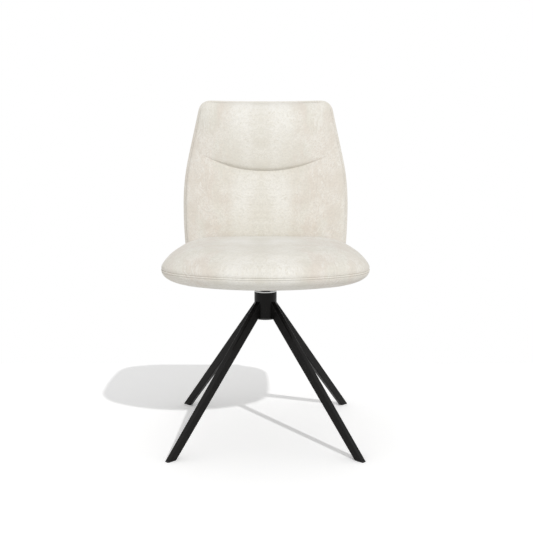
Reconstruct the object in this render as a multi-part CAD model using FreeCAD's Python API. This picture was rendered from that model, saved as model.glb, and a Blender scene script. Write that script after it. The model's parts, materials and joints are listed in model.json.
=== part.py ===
import FreeCAD, Part
import math
import os

# Swivel dining chair: upholstered seat and backrest turning on a short column with four splayed legs.
# Millimetres. The origin is on the floor under the column, +Z is up and the chair faces -Y.

# Clearances
SOFT_GAP = 0.3
RUNNING_CLEARANCE = 0.05
SEATING_CLEARANCE = 0.05
END_FLOAT = 0.15
HOLE_CLEARANCE = 0.5

# Column
COLUMN_RADIUS = 28.5
COLUMN_WALL = 2.5
COLUMN_BOTTOM = 302.0
COLUMN_LENGTH = 65.0
COLUMN_CHAMFER = 0.8
CAP_FLANGE = 4.5
CAP_CHAMFER = 1.0
CAP_PLUG_WALL = 3.0
CAP_PLUG_HEIGHT = 6.0

# Legs, each in its own upright plane through the column's axis
LEG_NAMES = ("rear_right", "rear_left", "front_left", "front_right")
LEG_FIRST_ANGLE = 45.0
FOOT_REACH = 328.0
FOOT_LENGTH = 25.5
FOOT_WIDTH = 13.5
LEG_TOP_DROP = 24.0
LEG_BOTTOM_MARGIN = 2.0
LEG_ROOT_WIDTH = 15.0
LEG_WALL = 1.5
LEG_EDGE_RADIUS = 2.5
GLIDE_SOLE = 2.0
GLIDE_STUB = 16.0
GLIDE_FIT = 0.15

# Bearings on the column
BEARING_RING_THICKNESS = 3.0
BEARING_RING_CHAMFER = 0.8
BUSH_COLLAR_WALL = 2.0
BUSH_COLLAR_RISE = 0.8
UPPER_BUSH_LENGTH = 22.0
BUSH_SPACING = 11.0
LOWER_BUSH_RISE = 12.0
THRUST_WASHER_THICKNESS = 2.0
LOWER_WASHER_THICKNESS = 2.0
LOWER_WASHER_RADIUS = 20.0

# Spindle and swivel plate
SPINDLE_RADIUS = 11.0
SPINDLE_TAIL = 4.0
SPINDLE_CHAMFER = 1.0
CIRCLIP_THICKNESS = 1.2
CIRCLIP_DEPTH = 1.1
CIRCLIP_WIDTH = 4.0
CIRCLIP_OPENING = 6.0
COLLAR_LENGTH = 36.2
PLATE_WIDTH = 180.0
PLATE_THICKNESS = 4.0
PLATE_CORNER = 20.0
PLATE_BOLT_MARGIN = 20.0
GUSSET_REACH = 62.0
GUSSET_RISE = 10.2
GUSSET_THICKNESS = 4.0

# Fasteners, all M8
BOLT_RADIUS = 4.0
BOLT_HEAD_FLATS = 13.0
BOLT_HEAD_HEIGHT = 5.3
WASHER_RADIUS = 8.0
WASHER_THICKNESS = 1.6
TEE_BARREL_RADIUS = 5.0
TEE_BARREL_LENGTH = 7.5
TEE_FLANGE_RADIUS = 9.5
TEE_FLANGE_THICKNESS = 1.5

# Seat outline: four wide arcs joined by corner arcs
SEAT_FRONT = -312.0
SEAT_REAR = 185.0
SEAT_HALF_WIDTH = 249.0
SEAT_WIDEST_Y = -60.0
SEAT_FRONT_BOW = 330.0
SEAT_SIDE_BOW = 1500.0
SEAT_REAR_BOW = 520.0
SEAT_FRONT_CORNER = 135.0
SEAT_REAR_CORNER = 88.0
SEAT_LEAST_CORNER = 40.0

# Seat layers
BOARD_THICKNESS = 12.0
BOARD_INSET = 50.0
BOARD_TO_WELT = 18.0
WELT_HEIGHT = 4.5
WELT_WIDTH = 12.0
WELT_PROUD = 1.5
WELT_ROUND = 1.4
LOWER_PAD_RISE = 1.5
CUSHION_CROWN = 56.0
DUST_COVER_THICKNESS = 0.8
DUST_COVER_INSET = 8.0

# Backrest, in its own upright frame: x across, y to the rear, z up along the board
BACK_BASE_RISE = 17.0
SEAT_TO_BACK_GAP = 1.0
BACK_RECLINE = 10.5
BACK_WRAP_RADIUS = 1400.0
BACK_HEIGHT = 440.0
BACK_HALF_WIDTH = 231.0
BACK_WIDEST_Z = 152.0
BACK_UPPER_BOW = 622.0
BACK_LOWER_BOW = 1318.0
BACK_TAPER_ANGLE = 11.5
BACK_TOP_CORNER = 34.0
BACK_BOTTOM_CORNER = 40.0
BACK_LEAST_CORNER = 6.0
BACK_BOARD_THICKNESS = 10.0
BACK_WELT_THICKNESS = 5.0
BACK_WELT_WIDTH = 12.0
BACK_WELT_PROUD = 1.5
LUMBAR_THICKNESS = 42.0
LUMBAR_FOOT_SHARE = 0.72
HEAD_THICKNESS = 64.0
COVER_PADDING = 6.6
CREASE_DROP = 208.0
CREASE_RADIUS = 385.0
CREASE_LIP_DEPTH = 24.0
CREASE_LIP_HEIGHT = 16.0
PAD_INSET = 1.0
PAD_SHOULDER_SHARE = 0.55
PAD_BULGE_SHARE = 0.12
PAD_BULGE_DEPTH = 0.58

# Back brackets
PLATE_TO_BRACKET_GAP = 14.0
BRACKET_WIDTH = 32.0
BRACKET_THICKNESS = 5.0
BRACKET_END_MARGIN = 22.0
BRACKET_BEND = 8.0
SEAT_BOLT_MARGIN = 27.0
SEAT_BOLT_PITCH = 46.0
BACK_BOLT_RISE = 55.0
BACK_BOLT_PITCH = 50.0

# Sizes that follow, from the floor up
COLUMN_TOP = COLUMN_BOTTOM + COLUMN_LENGTH
COLUMN_BORE = COLUMN_RADIUS - COLUMN_WALL
LOWER_BUSH_BOTTOM = COLUMN_BOTTOM + LOWER_BUSH_RISE
CIRCLIP_TOP = LOWER_BUSH_BOTTOM - LOWER_WASHER_THICKNESS - END_FLOAT
SPINDLE_BOTTOM = CIRCLIP_TOP - CIRCLIP_THICKNESS - SPINDLE_TAIL
BUSH_COLLAR_TOP = COLUMN_TOP + BEARING_RING_THICKNESS + BUSH_COLLAR_RISE
THRUST_WASHER_TOP = BUSH_COLLAR_TOP + THRUST_WASHER_THICKNESS
COLLAR_RADIUS = SPINDLE_RADIUS + BUSH_COLLAR_WALL
PLATE_BOTTOM = THRUST_WASHER_TOP + COLLAR_LENGTH
BOARD_BOTTOM = PLATE_BOTTOM + PLATE_THICKNESS
BOARD_TOP = BOARD_BOTTOM + BOARD_THICKNESS
WELT_BOTTOM = BOARD_TOP + BOARD_TO_WELT
WELT_TOP = WELT_BOTTOM + WELT_HEIGHT
BRACKET_CENTRE_X = PLATE_WIDTH / 2 + PLATE_TO_BRACKET_GAP + BRACKET_WIDTH / 2
REAR_SEAT_BOLT_Y = SEAT_REAR - BOARD_INSET - SEAT_BOLT_MARGIN
SEAT_BOLT_YS = (REAR_SEAT_BOLT_Y - SEAT_BOLT_PITCH, REAR_SEAT_BOLT_Y)
BRACKET_FRONT_Y = SEAT_BOLT_YS[0] - BRACKET_END_MARGIN

# Offsets from the backrest's wrapped reference face, and heights along the board
BACK_FRONT_FACE = -BACK_WELT_THICKNESS / 2
BACK_BOARD_REAR = BACK_FRONT_FACE + BACK_BOARD_THICKNESS
BACK_PAD_SEAT = BACK_WELT_THICKNESS / 2 + SEATING_CLEARANCE
COVER_REAR = BACK_BOARD_REAR + BRACKET_THICKNESS + WASHER_THICKNESS + BOLT_HEAD_HEIGHT + COVER_PADDING
BACK_BASE_Y = SEAT_REAR + LUMBAR_FOOT_SHARE * LUMBAR_THICKNESS + SEAT_TO_BACK_GAP
BACK_BASE_Z = BOARD_BOTTOM + BACK_BASE_RISE
BACK_BOLT_ZS = (BACK_BOLT_RISE, BACK_BOLT_RISE + BACK_BOLT_PITCH)
BRACKET_RISE = BACK_BOLT_ZS[1] + BRACKET_END_MARGIN
CREASE_LOW_Z = BACK_HEIGHT - CREASE_DROP

UP = FreeCAD.Vector(0, 0, 1)
ORIGIN = FreeCAD.Vector(0, 0, 0)


def cylinder(radius, bottom, top, x=0.0, y=0.0):
    """Upright solid cylinder between two heights."""
    return Part.makeCylinder(radius, top - bottom, FreeCAD.Vector(x, y, bottom))


def sleeve(inner, outer, bottom, top):
    """Upright tube round the column's axis."""
    return cylinder(outer, bottom, top).cut(cylinder(inner, bottom, top))


def arc(start, middle, end):
    return Part.Arc(start, middle, end).toShape()


def save(shape, name):
    """Write one node, and say how many solids it has."""
    if not shape.isValid():
        print("invalid shape:", name)
    shape.exportStep("parts/" + name + ".step")
    print(name, "solids", len(shape.Solids), "volume", round(shape.Volume, 1))


# Base


def column():
    tube = sleeve(COLUMN_BORE, COLUMN_RADIUS, COLUMN_BOTTOM, COLUMN_TOP)
    rims = [e for e in tube.Edges if e.Closed and abs(e.Curve.Radius - COLUMN_RADIUS) < 1e-6]
    return tube.makeChamfer(COLUMN_CHAMFER, rims)


def column_cap():
    flange = cylinder(COLUMN_RADIUS, COLUMN_BOTTOM - CAP_FLANGE, COLUMN_BOTTOM)
    rims = [e for e in flange.Edges if e.Closed and e.CenterOfMass.z < COLUMN_BOTTOM - CAP_FLANGE / 2]
    flange = flange.makeChamfer(CAP_CHAMFER, rims)
    plug_radius = COLUMN_BORE - SEATING_CLEARANCE
    plug = sleeve(plug_radius - CAP_PLUG_WALL, plug_radius, COLUMN_BOTTOM, COLUMN_BOTTOM + CAP_PLUG_HEIGHT)
    return flange.fuse(plug)


def leg_line(upper, inset):
    """Two points (reach, height) of a leg's upper or lower edge, moved inwards by inset."""
    if upper:
        root = (COLUMN_RADIUS, COLUMN_TOP - LEG_TOP_DROP)
        foot = (FOOT_REACH, 0.0)
        side = -1.0
    else:
        root = (COLUMN_RADIUS, COLUMN_BOTTOM + LEG_BOTTOM_MARGIN)
        foot = (FOOT_REACH - FOOT_LENGTH, 0.0)
        side = 1.0
    run = foot[0] - root[0]
    drop = root[1] - foot[1]
    length = math.hypot(run, drop)
    shift = (side * inset * drop / length, side * inset * run / length)
    return (root[0] + shift[0], root[1] + shift[1]), (foot[0] + shift[0], foot[1] + shift[1])


def height_at(line, reach):
    (r0, z0), (r1, z1) = line
    return z0 + (reach - r0) * (z1 - z0) / (r1 - r0)


def reach_at(line, height):
    (r0, z0), (r1, z1) = line
    return r0 + (height - z0) * (r1 - r0) / (z1 - z0)


def leg_half_width(reach, inset):
    share = (reach - COLUMN_RADIUS) / (FOOT_REACH - COLUMN_RADIUS)
    return (LEG_ROOT_WIDTH + share * (FOOT_WIDTH - LEG_ROOT_WIDTH)) / 2 - inset


def straight_solid(first, second):
    """Solid of straight lines between two four-cornered ends whose corners match."""
    return Part.makeLoft([Part.makePolygon(points + points[:1]) for points in (first, second)], True, True)


def leg_blank(inset, low, high=None):
    """Leg section, inset from the outer faces, from height low to the column or to height high."""
    upper = leg_line(True, inset)
    lower = leg_line(False, inset)
    foot = corners(reach_at(upper, low), low, reach_at(lower, low), low, inset)
    if high is None:
        start = COLUMN_RADIUS - COLUMN_WALL
        root = corners(start, height_at(upper, start), start, height_at(lower, start), inset)
    else:
        root = corners(reach_at(upper, high), high, reach_at(lower, high), high, inset)
    blank = straight_solid(foot, root)
    radius = LEG_EDGE_RADIUS - inset
    if radius <= 0:
        return blank
    ends = {round(p.z, 3) for p in foot}
    long_edges = [e for e in blank.Edges if len({round(v.Z, 3) for v in e.Vertexes} & ends) == 1
                  and abs(e.Vertexes[0].Z - e.Vertexes[1].Z) > GLIDE_SOLE / 2]
    side_edges = [e for e in long_edges if abs(e.Vertexes[0].Y) > inset]
    return blank.makeFillet(radius, side_edges)


def corners(upper_reach, upper_height, lower_reach, lower_height, inset):
    a = leg_half_width(upper_reach, inset)
    b = leg_half_width(lower_reach, inset)
    return [FreeCAD.Vector(upper_reach, a, upper_height), FreeCAD.Vector(lower_reach, b, lower_height),
            FreeCAD.Vector(lower_reach, -b, lower_height), FreeCAD.Vector(upper_reach, -a, upper_height)]


def leg():
    """Open tube, coped to the column and cut level above its glide."""
    outside = leg_blank(0.0, GLIDE_SOLE)
    bore = leg_blank(LEG_WALL, GLIDE_SOLE)
    return outside.cut(bore).cut(cylinder(COLUMN_RADIUS, 0.0, COLUMN_TOP))


def glide():
    """Plastic sole of the leg's own outline, with a stub up the tube."""
    sole_slab = cylinder(FOOT_REACH + FOOT_LENGTH, 0.0, GLIDE_SOLE)
    sole = leg_blank(0.0, -GLIDE_STUB).common(sole_slab)
    stub = leg_blank(LEG_WALL + GLIDE_FIT, GLIDE_SOLE, GLIDE_SOLE + GLIDE_STUB)
    return sole.fuse(stub)


# Bearings


def bearing_ring():
    ring = sleeve(COLLAR_RADIUS + SEATING_CLEARANCE, COLUMN_RADIUS, COLUMN_TOP, COLUMN_TOP + BEARING_RING_THICKNESS)
    rims = [e for e in ring.Edges if e.Closed and e.CenterOfMass.z > COLUMN_TOP + BEARING_RING_THICKNESS / 2
            and abs(e.Curve.Radius - COLUMN_RADIUS) < 1e-6]
    return ring.makeChamfer(BEARING_RING_CHAMFER, rims)


def upper_bush():
    bore = SPINDLE_RADIUS + RUNNING_CLEARANCE
    body = sleeve(bore, COLUMN_BORE - SEATING_CLEARANCE, COLUMN_TOP - UPPER_BUSH_LENGTH, COLUMN_TOP)
    collar = sleeve(bore, COLLAR_RADIUS, COLUMN_TOP, BUSH_COLLAR_TOP)
    return body.fuse(collar)


def lower_bush():
    bore = SPINDLE_RADIUS + RUNNING_CLEARANCE
    top = COLUMN_TOP - UPPER_BUSH_LENGTH - BUSH_SPACING
    return sleeve(bore, COLUMN_BORE - SEATING_CLEARANCE, LOWER_BUSH_BOTTOM, top)


def thrust_washer():
    return sleeve(SPINDLE_RADIUS + RUNNING_CLEARANCE, COLLAR_RADIUS, BUSH_COLLAR_TOP, THRUST_WASHER_TOP)


def lower_washer():
    bottom = LOWER_BUSH_BOTTOM - LOWER_WASHER_THICKNESS
    return sleeve(SPINDLE_RADIUS + RUNNING_CLEARANCE, LOWER_WASHER_RADIUS, bottom, LOWER_BUSH_BOTTOM)


# Spindle and swivel plate


def groove_radius():
    return SPINDLE_RADIUS - CIRCLIP_DEPTH


def spindle():
    bar = cylinder(SPINDLE_RADIUS, SPINDLE_BOTTOM, BOARD_BOTTOM)
    rims = [e for e in bar.Edges if e.Closed and e.CenterOfMass.z < CIRCLIP_TOP]
    bar = bar.makeChamfer(SPINDLE_CHAMFER, rims)
    groove = sleeve(groove_radius(), SPINDLE_RADIUS + CIRCLIP_WIDTH, CIRCLIP_TOP - CIRCLIP_THICKNESS, CIRCLIP_TOP)
    return bar.cut(groove)


def circlip():
    outer = groove_radius() + CIRCLIP_WIDTH
    ring = sleeve(groove_radius(), outer, CIRCLIP_TOP - CIRCLIP_THICKNESS, CIRCLIP_TOP)
    corner = FreeCAD.Vector(-CIRCLIP_OPENING / 2, 0, CIRCLIP_TOP - CIRCLIP_THICKNESS)
    return ring.cut(Part.makeBox(CIRCLIP_OPENING, outer, CIRCLIP_THICKNESS, corner))


def spindle_collar():
    return sleeve(SPINDLE_RADIUS, COLLAR_RADIUS, THRUST_WASHER_TOP, PLATE_BOTTOM)


def plate_gussets():
    webs = []
    low = THRUST_WASHER_TOP + GUSSET_RISE
    profile = [(COLLAR_RADIUS / 2, PLATE_BOTTOM), (GUSSET_REACH, PLATE_BOTTOM),
               (GUSSET_REACH, PLATE_BOTTOM - GUSSET_THICKNESS), (COLLAR_RADIUS, low), (COLLAR_RADIUS / 2, low)]
    points = [FreeCAD.Vector(r, -GUSSET_THICKNESS / 2, z) for r, z in profile]
    web = Part.Face(Part.makePolygon(points + points[:1])).extrude(FreeCAD.Vector(0, GUSSET_THICKNESS, 0))
    web = web.cut(cylinder(COLLAR_RADIUS, 0.0, BOARD_BOTTOM))
    for quarter in range(4):
        turned = web.copy()
        turned.rotate(ORIGIN, UP, 90 * quarter)
        webs.append(turned)
    return Part.makeCompound(webs)


def plate_bolt_places():
    half = PLATE_WIDTH / 2 - PLATE_BOLT_MARGIN
    return [(x, y) for x in (-half, half) for y in (-half, half)]


def swivel_plate():
    half = PLATE_WIDTH / 2
    plate = Part.makeBox(PLATE_WIDTH, PLATE_WIDTH, PLATE_THICKNESS, FreeCAD.Vector(-half, -half, PLATE_BOTTOM))
    uprights = [e for e in plate.Edges if abs(e.Vertexes[0].Z - e.Vertexes[1].Z) > PLATE_THICKNESS / 2]
    plate = plate.makeFillet(PLATE_CORNER, uprights)
    plate = plate.cut(cylinder(SPINDLE_RADIUS, PLATE_BOTTOM, BOARD_BOTTOM))
    for x, y in plate_bolt_places():
        plate = plate.cut(cylinder(BOLT_RADIUS + HOLE_CLEARANCE, PLATE_BOTTOM, BOARD_BOTTOM, x, y))
    return plate


# Fasteners, made along +Z from the face that the washer bears on


def bolt(grip):
    """Hexagon bolt: head and washer gap below z = 0, shank up to z = grip."""
    across_corners = BOLT_HEAD_FLATS / math.cos(math.pi / 6)
    points = [FreeCAD.Vector(across_corners / 2 * math.cos(math.pi / 3 * i),
                             across_corners / 2 * math.sin(math.pi / 3 * i),
                             -WASHER_THICKNESS - BOLT_HEAD_HEIGHT) for i in range(6)]
    head = Part.Face(Part.makePolygon(points + points[:1])).extrude(FreeCAD.Vector(0, 0, BOLT_HEAD_HEIGHT))
    return head.fuse(cylinder(BOLT_RADIUS, -WASHER_THICKNESS, grip))


def washer():
    return sleeve(BOLT_RADIUS + SEATING_CLEARANCE, WASHER_RADIUS, -WASHER_THICKNESS, 0.0)


def tee_nut():
    """Tee nut whose flange stands on z = 0, with its barrel below."""
    barrel = cylinder(TEE_BARREL_RADIUS, -TEE_BARREL_LENGTH, 0.0)
    flange = cylinder(TEE_FLANGE_RADIUS, 0.0, TEE_FLANGE_THICKNESS)
    bore = cylinder(BOLT_RADIUS + SEATING_CLEARANCE, -TEE_BARREL_LENGTH, TEE_FLANGE_THICKNESS)
    return barrel.fuse(flange).cut(bore)


def board_hole(thickness):
    """Stepped hole for a bolt and the barrel of its tee nut, under a face at z = 0."""
    bolt_hole = cylinder(BOLT_RADIUS + HOLE_CLEARANCE, -thickness, 0.0)
    barrel_hole = cylinder(TEE_BARREL_RADIUS + SEATING_CLEARANCE, -TEE_BARREL_LENGTH, 0.0)
    return bolt_hole.fuse(barrel_hole)


def tee_pocket():
    """Room for a tee nut's flange in the foam on the board."""
    return cylinder(TEE_FLANGE_RADIUS + SOFT_GAP, -SOFT_GAP, TEE_FLANGE_THICKNESS + SOFT_GAP)


def lifted(shape, places, height):
    """Copies of a fastener standing at places (x, y) with their zero at one height."""
    copies = []
    for x, y in places:
        copy = shape.copy()
        copy.translate(FreeCAD.Vector(x, y, height))
        copies.append(copy)
    return copies


def seat_bolt_places():
    """Places of the bracket bolts in the seat board."""
    return [(side * BRACKET_CENTRE_X, y) for side in (-1, 1) for y in SEAT_BOLT_YS]


# Seat


def corner_centre(first, first_radius, second, second_radius):
    """Point at the given distances from two centres, on the outer side of the outline."""
    dx = second[0] - first[0]
    dy = second[1] - first[1]
    gap = math.hypot(dx, dy)
    along = (first_radius**2 - second_radius**2 + gap**2) / (2 * gap)
    off = math.sqrt(first_radius**2 - along**2)
    middle = (first[0] + along * dx / gap, first[1] + along * dy / gap)
    options = [(middle[0] - off * dy / gap, middle[1] + off * dx / gap),
               (middle[0] + off * dy / gap, middle[1] - off * dx / gap)]
    return max(options, key=lambda p: p[0])


def on_circle(centre, radius, towards):
    """Point of a circle in the direction of another point."""
    dx = towards[0] - centre[0]
    dy = towards[1] - centre[1]
    length = math.hypot(dx, dy)
    return (centre[0] + radius * dx / length, centre[1] + radius * dy / length)


def middle_of_arc(centre, radius, start, end):
    return on_circle(centre, radius, ((start[0] + end[0]) / 2, (start[1] + end[1]) / 2))


def seat_outline(inset, height):
    """Closed outline of eight tangent arcs, inset from the seam, at one height."""
    front = (0.0, SEAT_FRONT + SEAT_FRONT_BOW)
    rear = (0.0, SEAT_REAR - SEAT_REAR_BOW)
    side = (SEAT_HALF_WIDTH - SEAT_SIDE_BOW, SEAT_WIDEST_Y)
    front_radius = SEAT_FRONT_BOW - inset
    rear_radius = SEAT_REAR_BOW - inset
    side_radius = SEAT_SIDE_BOW - inset
    front_corner = max(SEAT_FRONT_CORNER - inset, SEAT_LEAST_CORNER)
    rear_corner = max(SEAT_REAR_CORNER - inset, SEAT_LEAST_CORNER)
    f = corner_centre(front, front_radius - front_corner, side, side_radius - front_corner)
    r = corner_centre(rear, rear_radius - rear_corner, side, side_radius - rear_corner)
    front_end = on_circle(front, front_radius, f)
    side_start = on_circle(side, side_radius, f)
    side_end = on_circle(side, side_radius, r)
    rear_start = on_circle(rear, rear_radius, r)
    half = [
        (front_end, middle_of_arc(f, front_corner, front_end, side_start), side_start),
        (side_start, middle_of_arc(side, side_radius, side_start, side_end), side_end),
        (side_end, middle_of_arc(r, rear_corner, side_end, rear_start), rear_start),
    ]
    arcs = [((-front_end[0], front_end[1]), (0.0, SEAT_FRONT + inset), front_end)]
    arcs += half
    arcs.append((rear_start, (0.0, SEAT_REAR - inset), (-rear_start[0], rear_start[1])))
    arcs += [tuple((-x, y) for x, y in reversed(piece)) for piece in reversed(half)]
    edges = [arc(*(FreeCAD.Vector(x, y, height) for x, y in piece)) for piece in arcs]
    return Part.Wire(edges)


def seat_slab(inset, bottom, top):
    """Straight-sided solid of the seat's outline."""
    return Part.Face(seat_outline(inset, bottom)).extrude(FreeCAD.Vector(0, 0, top - bottom))


def smooth_solid(wires):
    """Closed loft of the third degree, which stays close to its sections."""
    return Part.makeLoft(wires, True, False, False, 3)


def seat_loft(sections):
    """Smooth solid through outlines given as (height, inset)."""
    return smooth_solid([seat_outline(inset, height) for height, inset in sections])


def seat_board():
    board = seat_slab(BOARD_INSET, BOARD_BOTTOM, BOARD_TOP)
    for hole in lifted(board_hole(BOARD_THICKNESS), plate_bolt_places() + seat_bolt_places(), BOARD_TOP):
        board = board.cut(hole)
    return board


def seat_lower_pad():
    """Foam and cloth drawn in a shallow bowl under the edge of the board."""
    bottom = BOARD_BOTTOM + LOWER_PAD_RISE
    rise = WELT_BOTTOM - bottom
    sections = [(bottom, BOARD_INSET - 8), (bottom + 0.06 * rise, 31.0), (bottom + 0.22 * rise, 15.0),
                (bottom + 0.47 * rise, 6.0), (bottom + 0.75 * rise, 1.6), (WELT_BOTTOM, 0.5)]
    pad = seat_loft(sections)
    pad = pad.fuse(seat_slab(WELT_WIDTH + SOFT_GAP, WELT_BOTTOM, WELT_TOP))
    pad = pad.cut(seat_slab(BOARD_INSET - SOFT_GAP, BOARD_BOTTOM, BOARD_TOP + SOFT_GAP))
    for pocket in lifted(tee_pocket(), plate_bolt_places() + seat_bolt_places(), BOARD_TOP):
        pad = pad.cut(pocket)
    return pad


def seat_welt():
    """Flat piping round the seam, a little proud of the upholstery."""
    band = seat_slab(-WELT_PROUD, WELT_BOTTOM, WELT_TOP)
    rims = [e for e in band.Edges if abs(e.Vertexes[0].Z - e.Vertexes[1].Z) < 1e-6]
    band = band.makeFillet(WELT_ROUND, rims)
    return band.cut(seat_slab(WELT_WIDTH, WELT_BOTTOM, WELT_TOP))


def seat_cushion():
    """Domed top pad: full sides just over the seam, then a soft crown."""
    shares = [(0.0, 1.0), (0.10, 0.2), (0.25, 5.0), (0.45, 21.0), (0.66, 50.0), (0.84, 95.0),
              (0.95, 140.0), (1.0, 185.0)]
    return seat_loft([(WELT_TOP + share * CUSHION_CROWN, inset) for share, inset in shares])


def seat_dust_cover():
    """Thin cloth on the board's underside, cut round the plate and the bracket arms."""
    top = BOARD_BOTTOM
    cover = seat_slab(BOARD_INSET + DUST_COVER_INSET, top - DUST_COVER_THICKNESS, top)
    half = PLATE_WIDTH / 2 + DUST_COVER_INSET
    corner = FreeCAD.Vector(-half, -half, top - DUST_COVER_THICKNESS)
    cover = cover.cut(Part.makeBox(2 * half, 2 * half, DUST_COVER_THICKNESS, corner))
    for side in (-1, 1):
        low_x = side * BRACKET_CENTRE_X - BRACKET_WIDTH / 2 - DUST_COVER_INSET / 2
        corner = FreeCAD.Vector(low_x, BRACKET_FRONT_Y - DUST_COVER_INSET / 2, top - DUST_COVER_THICKNESS)
        cover = cover.cut(Part.makeBox(BRACKET_WIDTH + DUST_COVER_INSET, SEAT_REAR, DUST_COVER_THICKNESS, corner))
    return cover


# Backrest


def reclined(shape):
    """Move a shape from the backrest's upright frame to its place on the chair."""
    moved = shape.copy()
    moved.rotate(ORIGIN, FreeCAD.Vector(1, 0, 0), -BACK_RECLINE)
    moved.translate(FreeCAD.Vector(0, BACK_BASE_Y, BACK_BASE_Z))
    return moved


def back_point(y, z):
    """World (y, z) of a point given in the backrest's upright frame."""
    tilt = math.radians(BACK_RECLINE)
    return (BACK_BASE_Y + y * math.cos(tilt) + z * math.sin(tilt),
            BACK_BASE_Z - y * math.sin(tilt) + z * math.cos(tilt))


def wrap(x, offset=0.0):
    """Local y at x of the face that lies offset behind the wrapped reference face."""
    return math.sqrt((BACK_WRAP_RADIUS + offset)**2 - x**2) - BACK_WRAP_RADIUS


def back_side_shape(inset):
    """Right half of the outline as arcs and a line: (kind, points) from the bottom edge to the top edge."""
    low_z = inset
    high_z = BACK_HEIGHT - inset
    upper = (BACK_HALF_WIDTH - BACK_UPPER_BOW, BACK_WIDEST_Z)
    lower = (BACK_HALF_WIDTH - BACK_LOWER_BOW, BACK_WIDEST_Z)
    upper_radius = BACK_UPPER_BOW - inset
    lower_radius = BACK_LOWER_BOW - inset
    bottom_corner = max(BACK_BOTTOM_CORNER - inset, BACK_LEAST_CORNER)
    top_corner = max(BACK_TOP_CORNER - inset, BACK_LEAST_CORNER)
    drop = lower[1] - low_z - bottom_corner
    b = (lower[0] + math.sqrt((lower_radius - bottom_corner)**2 - drop**2), low_z + bottom_corner)
    bottom_end = (b[0], low_z)
    lower_start = on_circle(lower, lower_radius, b)
    widest = (BACK_HALF_WIDTH - inset, BACK_WIDEST_Z)
    taper = math.radians(BACK_TAPER_ANGLE)
    line_start = (upper[0] + upper_radius * math.cos(taper), upper[1] + upper_radius * math.sin(taper))
    corner_z = high_z - top_corner
    reach = top_corner + math.sin(taper) * (corner_z - line_start[1])
    t = (line_start[0] - reach / math.cos(taper), corner_z)
    line_end = (t[0] + top_corner * math.cos(taper), t[1] + top_corner * math.sin(taper))
    top_start = (t[0], high_z)
    return [
        ("arc", (bottom_end, middle_of_arc(b, bottom_corner, bottom_end, lower_start), lower_start)),
        ("arc", (lower_start, middle_of_arc(lower, lower_radius, lower_start, widest), widest)),
        ("arc", (widest, middle_of_arc(upper, upper_radius, widest, line_start), line_start)),
        ("line", (line_start, line_end)),
        ("arc", (line_end, middle_of_arc(t, top_corner, line_end, top_start), top_start)),
    ]


def back_outline(inset):
    """Closed front outline of the backrest in its x-z plane."""
    right = back_side_shape(inset)
    left = [(kind, tuple((-x, z) for x, z in reversed(points))) for kind, points in reversed(right)]
    bottom_end = right[0][1][0]
    top_start = right[-1][1][-1]
    pieces = [("line", ((-bottom_end[0], bottom_end[1]), bottom_end))] + right
    pieces += [("line", (top_start, (-top_start[0], top_start[1])))] + left
    edges = []
    for kind, points in pieces:
        ends = [FreeCAD.Vector(x, 0, z) for x, z in points]
        edges.append(arc(*ends) if kind == "arc" else Part.makeLine(*ends))
    return Part.Wire(edges)


def back_half_width(z):
    """Half width of the outline at height z, between the bottom corner and the top edge."""
    for kind, points in back_side_shape(0.0):
        low, high = points[0], points[-1]
        if not low[1] - 1e-9 <= z <= high[1] + 1e-9:
            continue
        if kind == "line":
            return low[0] + (z - low[1]) * (high[0] - low[0]) / (high[1] - low[1])
        circle = arc(*(FreeCAD.Vector(x, 0, v) for x, v in points)).Curve
        rise = z - circle.Center.z
        return circle.Center.x + math.sqrt(max(circle.Radius**2 - rise**2, 0.0))
    raise ValueError("height outside the backrest")


def wrapped_layer(inset, front, rear):
    """Layer of the backrest between two offsets from the wrapped reference face."""
    depth = BACK_HALF_WIDTH
    start = Part.Face(back_outline(inset))
    start.translate(FreeCAD.Vector(0, -depth, 0))
    block = start.extrude(FreeCAD.Vector(0, 2 * depth, 0))
    centre = FreeCAD.Vector(0, -BACK_WRAP_RADIUS, -BACK_HEIGHT)
    outer = Part.makeCylinder(BACK_WRAP_RADIUS + rear, 3 * BACK_HEIGHT, centre)
    inner = Part.makeCylinder(BACK_WRAP_RADIUS + front, 3 * BACK_HEIGHT, centre)
    return block.common(outer.cut(inner))


def pad_section(z, middle, edge, shrink, seat_face, direction):
    """Closed section of four arcs at height z.

    middle and edge are the pad's thicknesses in the middle and near the side, and direction is -1 for a
    pad in front of the board and 1 for one behind it.
    """
    half = back_half_width(z) - shrink
    shoulder = half - PAD_SHOULDER_SHARE * edge
    root = direction * seat_face
    flat = [(half, wrap(half, root)), (0.0, root), (-half, wrap(half, root))]
    shoulder_y = wrap(shoulder, root) + direction * edge
    face = [(-shoulder, shoulder_y), (0.0, root + direction * middle), (shoulder, shoulder_y)]
    bulge = (half - PAD_BULGE_SHARE * edge, flat[0][1] + PAD_BULGE_DEPTH * (shoulder_y - flat[0][1]))
    arcs = [flat, [flat[2], (-bulge[0], bulge[1]), face[0]], face, [face[2], bulge, flat[0]]]
    return Part.Wire([arc(*(FreeCAD.Vector(x, y, z) for x, y in piece)) for piece in arcs])


def pad_loft(sections, thickness, seat_face, direction):
    """Smooth pad through sections (height, middle, side, inset).

    middle and side are shares of the pad's thickness, and inset counts in steps of PAD_INSET.
    """
    return smooth_solid([pad_section(z, middle * thickness, side * thickness, inset * PAD_INSET,
                                     seat_face, direction)
                         for z, middle, side, inset in sections])


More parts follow.
